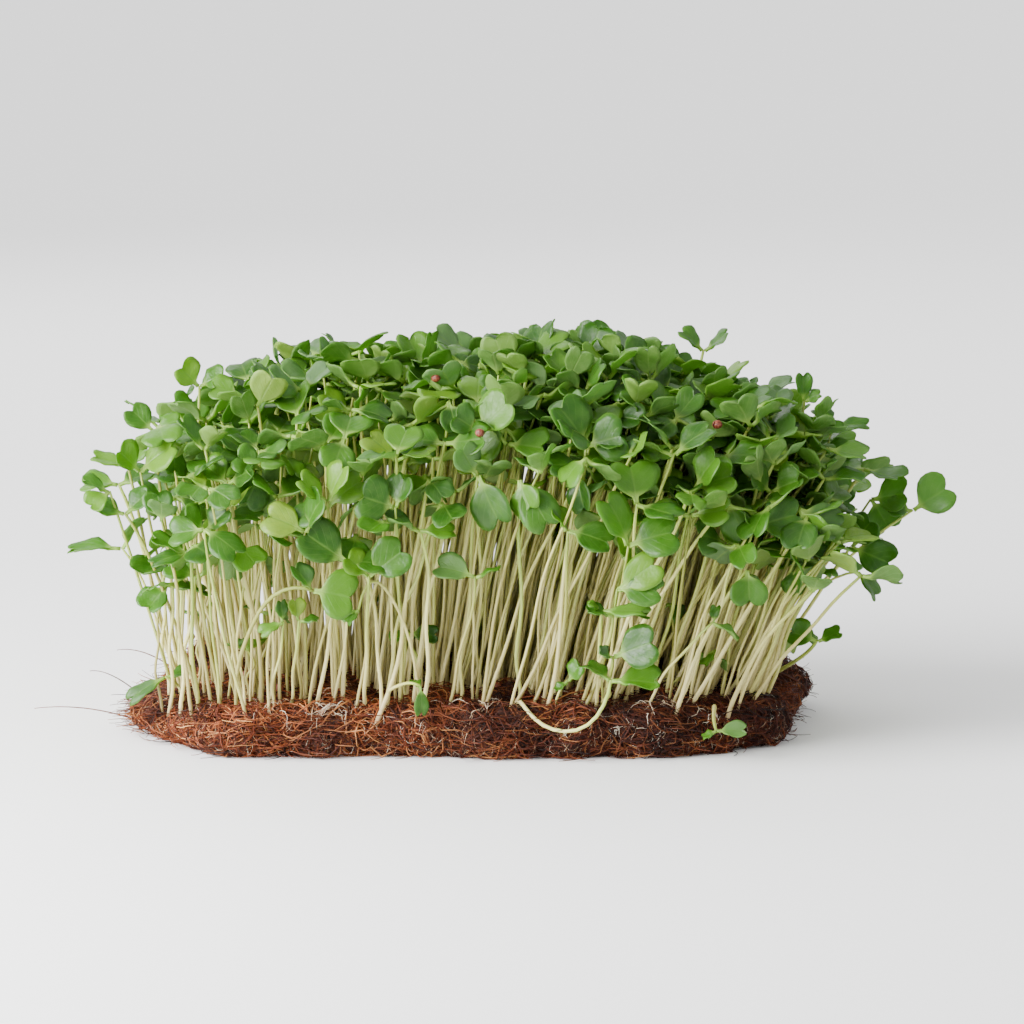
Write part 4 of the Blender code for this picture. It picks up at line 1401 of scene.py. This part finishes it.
def ramp(tree, factor, stops):
    node = tree.nodes.new("ShaderNodeValToRGB")
    tree.links.new(factor, node.inputs["Fac"])
    elements = node.color_ramp.elements
    while len(elements) < len(stops):
        elements.new(0.5)
    for element, (at, colour) in zip(elements, stops):
        element.position = at
        element.color = (*colour, 1.0)
    return node.outputs["Color"]


def mixed(tree, factor, first, second, mode="MIX"):
    """Mixes two colours. Each is a socket or three numbers, and factor is a socket or a number."""
    node = tree.nodes.new("ShaderNodeMix")
    node.data_type = "RGBA"
    node.blend_type = mode
    for socket, value in ((node.inputs[0], factor), (node.inputs[6], first), (node.inputs[7], second)):
        if isinstance(value, bpy.types.NodeSocket):
            tree.links.new(value, socket)
        else:
            socket.default_value = value if isinstance(value, float) else (*value, 1.0)
    return node.outputs[2]


def noise_socket(tree, scale, detail=3.0):
    """Noise over the piece's own coordinates, which are in metres."""
    place = tree.nodes.new("ShaderNodeTexCoord")
    node = tree.nodes.new("ShaderNodeTexNoise")
    node.inputs["Scale"].default_value = scale
    node.inputs["Detail"].default_value = detail
    tree.links.new(place.outputs["Object"], node.inputs["Vector"])
    return node.outputs["Fac"]


def mapped(tree, value, low, high, to_low=0.0, to_high=1.0):
    node = tree.nodes.new("ShaderNodeMapRange")
    node.interpolation_type = "SMOOTHSTEP"
    for name, number in (("From Min", low), ("From Max", high), ("To Min", to_low), ("To Max", to_high)):
        node.inputs[name].default_value = number
    tree.links.new(value, node.inputs["Value"])
    return node.outputs["Result"]


def maths(tree, operation, first, second):
    node = tree.nodes.new("ShaderNodeMath")
    node.operation = operation
    for socket, value in zip(node.inputs, (first, second)):
        if isinstance(value, bpy.types.NodeSocket):
            tree.links.new(value, socket)
        else:
            socket.default_value = value
    return node.outputs["Value"]


def paint(tree, shader, colour, roughness, relief, depth):
    """Gives the surface its colour, its roughness (a socket or a number) and a relief of this depth."""
    tree.links.new(colour, shader.inputs["Base Color"])
    if isinstance(roughness, float):
        shader.inputs["Roughness"].default_value = roughness
    else:
        tree.links.new(roughness, shader.inputs["Roughness"])
    node = tree.nodes.new("ShaderNodeBump")
    node.inputs["Distance"].default_value = depth
    tree.links.new(relief, node.inputs["Height"])
    tree.links.new(node.outputs["Normal"], shader.inputs["Normal"])


def island_random(tree):
    return tree.nodes.new("ShaderNodeNewGeometry").outputs["Random Per Island"]


def reshuffled(tree, own, times):
    """Another random share for each island, from its own one."""
    return maths(tree, "FRACT", maths(tree, "MULTIPLY", own, times), 0.0)


def along_piece(tree):
    """The coordinates that run across and along a leaf, or round and along a tube."""
    place = tree.nodes.new("ShaderNodeUVMap")
    place.uv_map = "along"
    split = tree.nodes.new("ShaderNodeSeparateXYZ")
    tree.links.new(place.outputs["UV"], split.inputs["Vector"])
    return split.outputs["X"], split.outputs["Y"]


def let_light_through(tree, shader, colour, share):
    """Mixes in light that comes through from behind, in this colour."""
    through = tree.nodes.new("ShaderNodeBsdfTranslucent")
    mix = tree.nodes.new("ShaderNodeMixShader")
    mix.inputs["Fac"].default_value = share
    tree.links.new(colour, through.inputs["Color"])
    tree.links.new(shader.outputs["BSDF"], mix.inputs[1])
    tree.links.new(through.outputs["BSDF"], mix.inputs[2])
    tree.links.new(mix.outputs["Shader"], tree.nodes["Material Output"].inputs["Surface"])


def stem_material():
    material, tree, shader = new_material("sprout_stem")
    _, up = along_piece(tree)
    own = island_random(tree)
    pale, green = ramp(tree, up, PALE_STEM), ramp(tree, up, GREEN_STEM)
    colour = mixed(tree, mapped(tree, own, *STEM_GREENS), pale, green)
    # Painted shade: a random darkening of each stem, for stems in the shade of others
    painted_shade = ramp(tree, reshuffled(tree, own, 37.0), STEM_PAINTED_SHADES)
    colour = mixed(tree, 1.0, colour, painted_shade, "MULTIPLY")
    paint(tree, shader, colour, STEM_ROUGHNESS, noise_socket(tree, STEM_GRAIN), STEM_RELIEF)
    let_light_through(tree, shader, colour, STEM_GLOW)
    return material


def leaf_material(name, stops, vein, roughness, through_colour, share):
    """A leaf face: its own tone, veins, a paler edge as painted rim highlight, stalk, a grey-green
    painted sheen on some leaves, and light that comes through it.
    """
    material, tree, shader = new_material(name)
    across, along = along_piece(tree)
    own = island_random(tree)
    tone = ramp(tree, own, stops)
    scale, start, end, strength = BLOTCHES
    blotch = mapped(tree, noise_socket(tree, scale), start, end, 0.0, strength)
    tone = mixed(tree, blotch, tone, vein)
    # Painted sheen: some leaves are turned grey-green, standing in for reflections of the sky
    start, strength = SHEEN_SHARES
    painted_sheen = mapped(tree, reshuffled(tree, own, 53.0), start, 1.0, 0.0, strength)
    tone = mixed(tree, painted_sheen, tone, PAINTED_SHEEN)
    from_midrib = maths(tree, "ABSOLUTE", maths(tree, "SUBTRACT", across, 0.5), 0.0)
    midrib = mapped(tree, from_midrib, 0.0, *MIDRIB, 0.0)
    slope, closeness, start, strength = SIDE_VEINS
    slant = maths(tree, "SUBTRACT", along, maths(tree, "MULTIPLY", from_midrib, slope))
    beat = maths(tree, "SINE", maths(tree, "MULTIPLY", slant, closeness), 0.0)
    side_veins = mapped(tree, beat, start, 1.0, 0.0, strength)
    veins = maths(tree, "MAXIMUM", midrib, side_veins)
    colour = mixed(tree, veins, tone, vein)
    # Painted highlight: the leaf's edge is made paler, standing in for rim light
    start, strength = RIM_HIGHLIGHT
    colour = mixed(tree, mapped(tree, from_midrib, start, 0.5, 0.0, strength), colour, RIM_HIGHLIGHT_GREEN)
    stalk = mapped(tree, along, *STALK_ENDS, 1.0, 0.0)
    colour = mixed(tree, stalk, colour, STALK_GREEN)
    scale, start, end = ROUGH_PATCHES
    least, most = (roughness + change for change in ROUGH_CHANGES)
    rough = mapped(tree, noise_socket(tree, scale), start, end, least, most)
    grain = maths(tree, "MULTIPLY", noise_socket(tree, LEAF_GRAIN), GRAIN_HEIGHT)
    sunk_veins = maths(tree, "MULTIPLY", veins, VEIN_HEIGHT)
    paint(tree, shader, colour, rough, maths(tree, "ADD", sunk_veins, grain), LEAF_RELIEF)
    glow = mixed(tree, 0.5, colour, through_colour)
    let_light_through(tree, shader, glow, share)
    return material


def right_shade_share(tree):
    """How much painted shade the coir gets, from 0 near the left end to 1 at the right, away from the
    light.
    """
    place = tree.nodes.new("ShaderNodeTexCoord")
    split = tree.nodes.new("ShaderNodeSeparateXYZ")
    tree.links.new(place.outputs["Object"], split.inputs["Vector"])
    return mapped(tree, split.outputs["X"], *RIGHT_SHADE_REACH)


def coir_material():
    """The fibres' own tones, darker in painted shaded patches and with painted shade towards the right
    end.
    """
    material, tree, shader = new_material("coir_fibre")
    own = ramp(tree, island_random(tree), COIR_TONES)
    scale, start, end, strength = COIR_SHADE
    painted_shade = mapped(tree, noise_socket(tree, scale), start, end, 0.0, strength)
    colour = mixed(tree, painted_shade, own, SHADED_COIR, "MULTIPLY")
    # Painted shade: the coir is darkened towards the right end, where less light falls
    right_shaded = mixed(tree, 1.0, colour, RIGHT_END_SHADE, "MULTIPLY")
    colour = mixed(tree, right_shade_share(tree), colour, right_shaded)
    shader.inputs["Specular IOR Level"].default_value = COIR_SHINE
    paint(tree, shader, colour, COIR_ROUGHNESS, noise_socket(tree, FIBRE_GRAIN), FIBRE_RELIEF)
    return material


def root_material():
    material, tree, shader = new_material("root_hair")
    colour = ramp(tree, island_random(tree), ROOT_TONES)
    paint(tree, shader, colour, ROOT_ROUGHNESS, noise_socket(tree, FIBRE_GRAIN), FIBRE_RELIEF)
    return material


def grained_material(name, scale, detail, tones, roughness, depth):
    """A surface whose tones and relief follow one grain."""
    material, tree, shader = new_material(name)
    grain = noise_socket(tree, scale, detail)
    paint(tree, shader, ramp(tree, grain, tones), roughness, grain, depth)
    return material


def floor_and_light():
    mesh = bpy.data.meshes.new("floor")
    corners = [(a * FLOOR_HALF, b * FLOOR_HALF, 0) for a, b in ((-1, -1), (1, -1), (1, 1), (-1, 1))]
    mesh.from_pydata(corners, [], [(0, 1, 2, 3)])
    material, _, shader = new_material("floor_white")
    shader.inputs["Base Color"].default_value = (*FLOOR_WHITE, 1.0)
    shader.inputs["Roughness"].default_value = FLOOR_ROUGHNESS
    mesh.materials.append(material)
    floor = put_in_scene("floor", mesh)

    world = bpy.data.worlds.new("soft_room")
    world.use_nodes = True
    background = world.node_tree.nodes["Background"]
    background.inputs["Color"].default_value = (1.0, 1.0, 1.0, 1.0)
    background.inputs["Strength"].default_value = WORLD_LIGHT
    bpy.context.scene.world = world

    for name, kind, place, size, power in LAMPS:
        lamp = bpy.data.lights.new(name, kind)
        lamp.energy = power
        if kind == "SUN":
            lamp.angle = math.radians(size)
        else:
            lamp.size = size
        light = put_in_scene(name, lamp)
        light.location = place
        aim = Vector(CAMERA_TARGET) - Vector(place)
        light.rotation_euler = aim.to_track_quat("-Z", "Y").to_euler()


def make_camera():
    camera = put_in_scene("camera", bpy.data.cameras.new("camera"))
    rise = math.radians(CAMERA_ELEVATION)
    back = Vector((0, -math.cos(rise), math.sin(rise)))
    camera.location = Vector(CAMERA_TARGET) + back * CAMERA_DISTANCE
    camera.rotation_euler = (math.pi / 2 - rise, 0, 0)
    camera.data.lens = CAMERA_LENS
    camera.data.clip_start = 0.01
    bpy.context.scene.camera = camera


def make_sprouts(draw):
    """All the sprouts, in pieces by clump row and side. Returns the places of their roots."""
    lone, clumps = plan_solids()
    extra = [lone_sprout(points, leaves) for points, leaves in EXTRA_SPROUTS.values()]
    solid = [sprout for _, sprouts in clumps for sprout in sprouts]
    standing = solid + list(lone.values()) + extra
    filled = plan_fill(draw, standing)
    upper, lower = leaf_material("leaf_upper", *UPPER_FACE), leaf_material("leaf_under", *LOWER_FACE)
    materials = (stem_material(), upper, lower)

    groups, nodes = {}, {}
    row_starts = []
    for number, ((x, y), sprouts) in enumerate(clumps, 1):
        row = round(y / CLUMP_STEP_Y) + CLUMP_ROWS // 2 + 1
        group = f"row_{row}_{'left' if x < 0 else 'right'}"
        groups.setdefault(group, []).extend(sprouts)
        nodes.setdefault(group, []).append(f"clump_{number:02d}")
        row_starts.append((x, y, group))
    for sprout in filled:
        foot = sprout["stem"][0]
        nearest = min(row_starts, key=lambda start: (start[0] - foot.x) ** 2 + (start[1] - foot.y) ** 2)
        groups[nearest[2]].append(sprout)
    for group, sprouts in groups.items():
        gather = Gather()
        sprout_meshes(gather, sprouts, draw)
        piece = gather.piece(f"sprouts_{group}", materials, "sprout")
        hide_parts(*nodes[group])
    gather = Gather()
    sprout_meshes(gather, list(lone.values()) + extra, draw)
    piece = gather.piece("sprouts_lone", materials, "sprout")
    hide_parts(*(f"sprout_{name}" for name in lone))
    return [sprout["stem"][0] for sprout in standing + filled]


def make_mat(draw, roots):
    points, faces = mat_core()
    mesh = bpy.data.meshes.new("coir_core")
    mesh.from_pydata([tuple(c * MM for c in point) for point in points], [], faces)
    # The core's tones are coir brown painted darker, for the shade in the gaps between fibres
    mesh.materials.append(grained_material("coir_core", 650.0, 8.0, CORE_TONES_SHADED, 0.9, 0.002))
    mesh.shade_smooth()
    core = put_in_scene("coir_core", mesh)
    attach(core, "root")
    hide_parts("coir_mat")

    skin = BVHTree.FromPolygons(points, faces)
    coir = coir_material()
    for zone, count in FIBRE_COUNTS.items():
        parts = math.ceil(count / FIBRES_A_PIECE)
        for part in range(1, parts + 1):
            coir_strands(skin, zone, count // parts, draw).piece(f"coir_{zone}_{part}", (coir,), "coir")
    coir_fringe(draw).piece("coir_fringe", (coir,), "coir")
    root_hairs(skin, roots, draw).piece("root_hairs", (root_material(),), "sprout")


def make_seed_coats(draw):
    material = grained_material("seed_skin", 1600.0, 4.0, COAT_TONES, 0.42, 0.0004)
    for number, (x, y) in enumerate(SEED_COATS, 1):
        gather = Gather()
        seed_coat(gather, coat_centre(x, y), COAT_RADIUS, draw)
        piece = gather.piece(f"seed_coat_fine_{number}", (material,), "seed_coat")
        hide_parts(f"seed_coat_{number}")
    gather = Gather()
    for place in EXTRA_COATS:
        seed_coat(gather, Vector(place), COAT_RADIUS * draw.uniform(*COAT_SIZES), draw)
    gather.piece("seed_coats_more", (material,), "seed_coat")


def main():
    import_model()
    draw = random.Random(SEED + 1)
    roots = make_sprouts(draw)
    make_mat(draw, roots)
    make_seed_coats(draw)
    floor_and_light()
    make_camera()
    bpy.context.view_layer.update()


main()
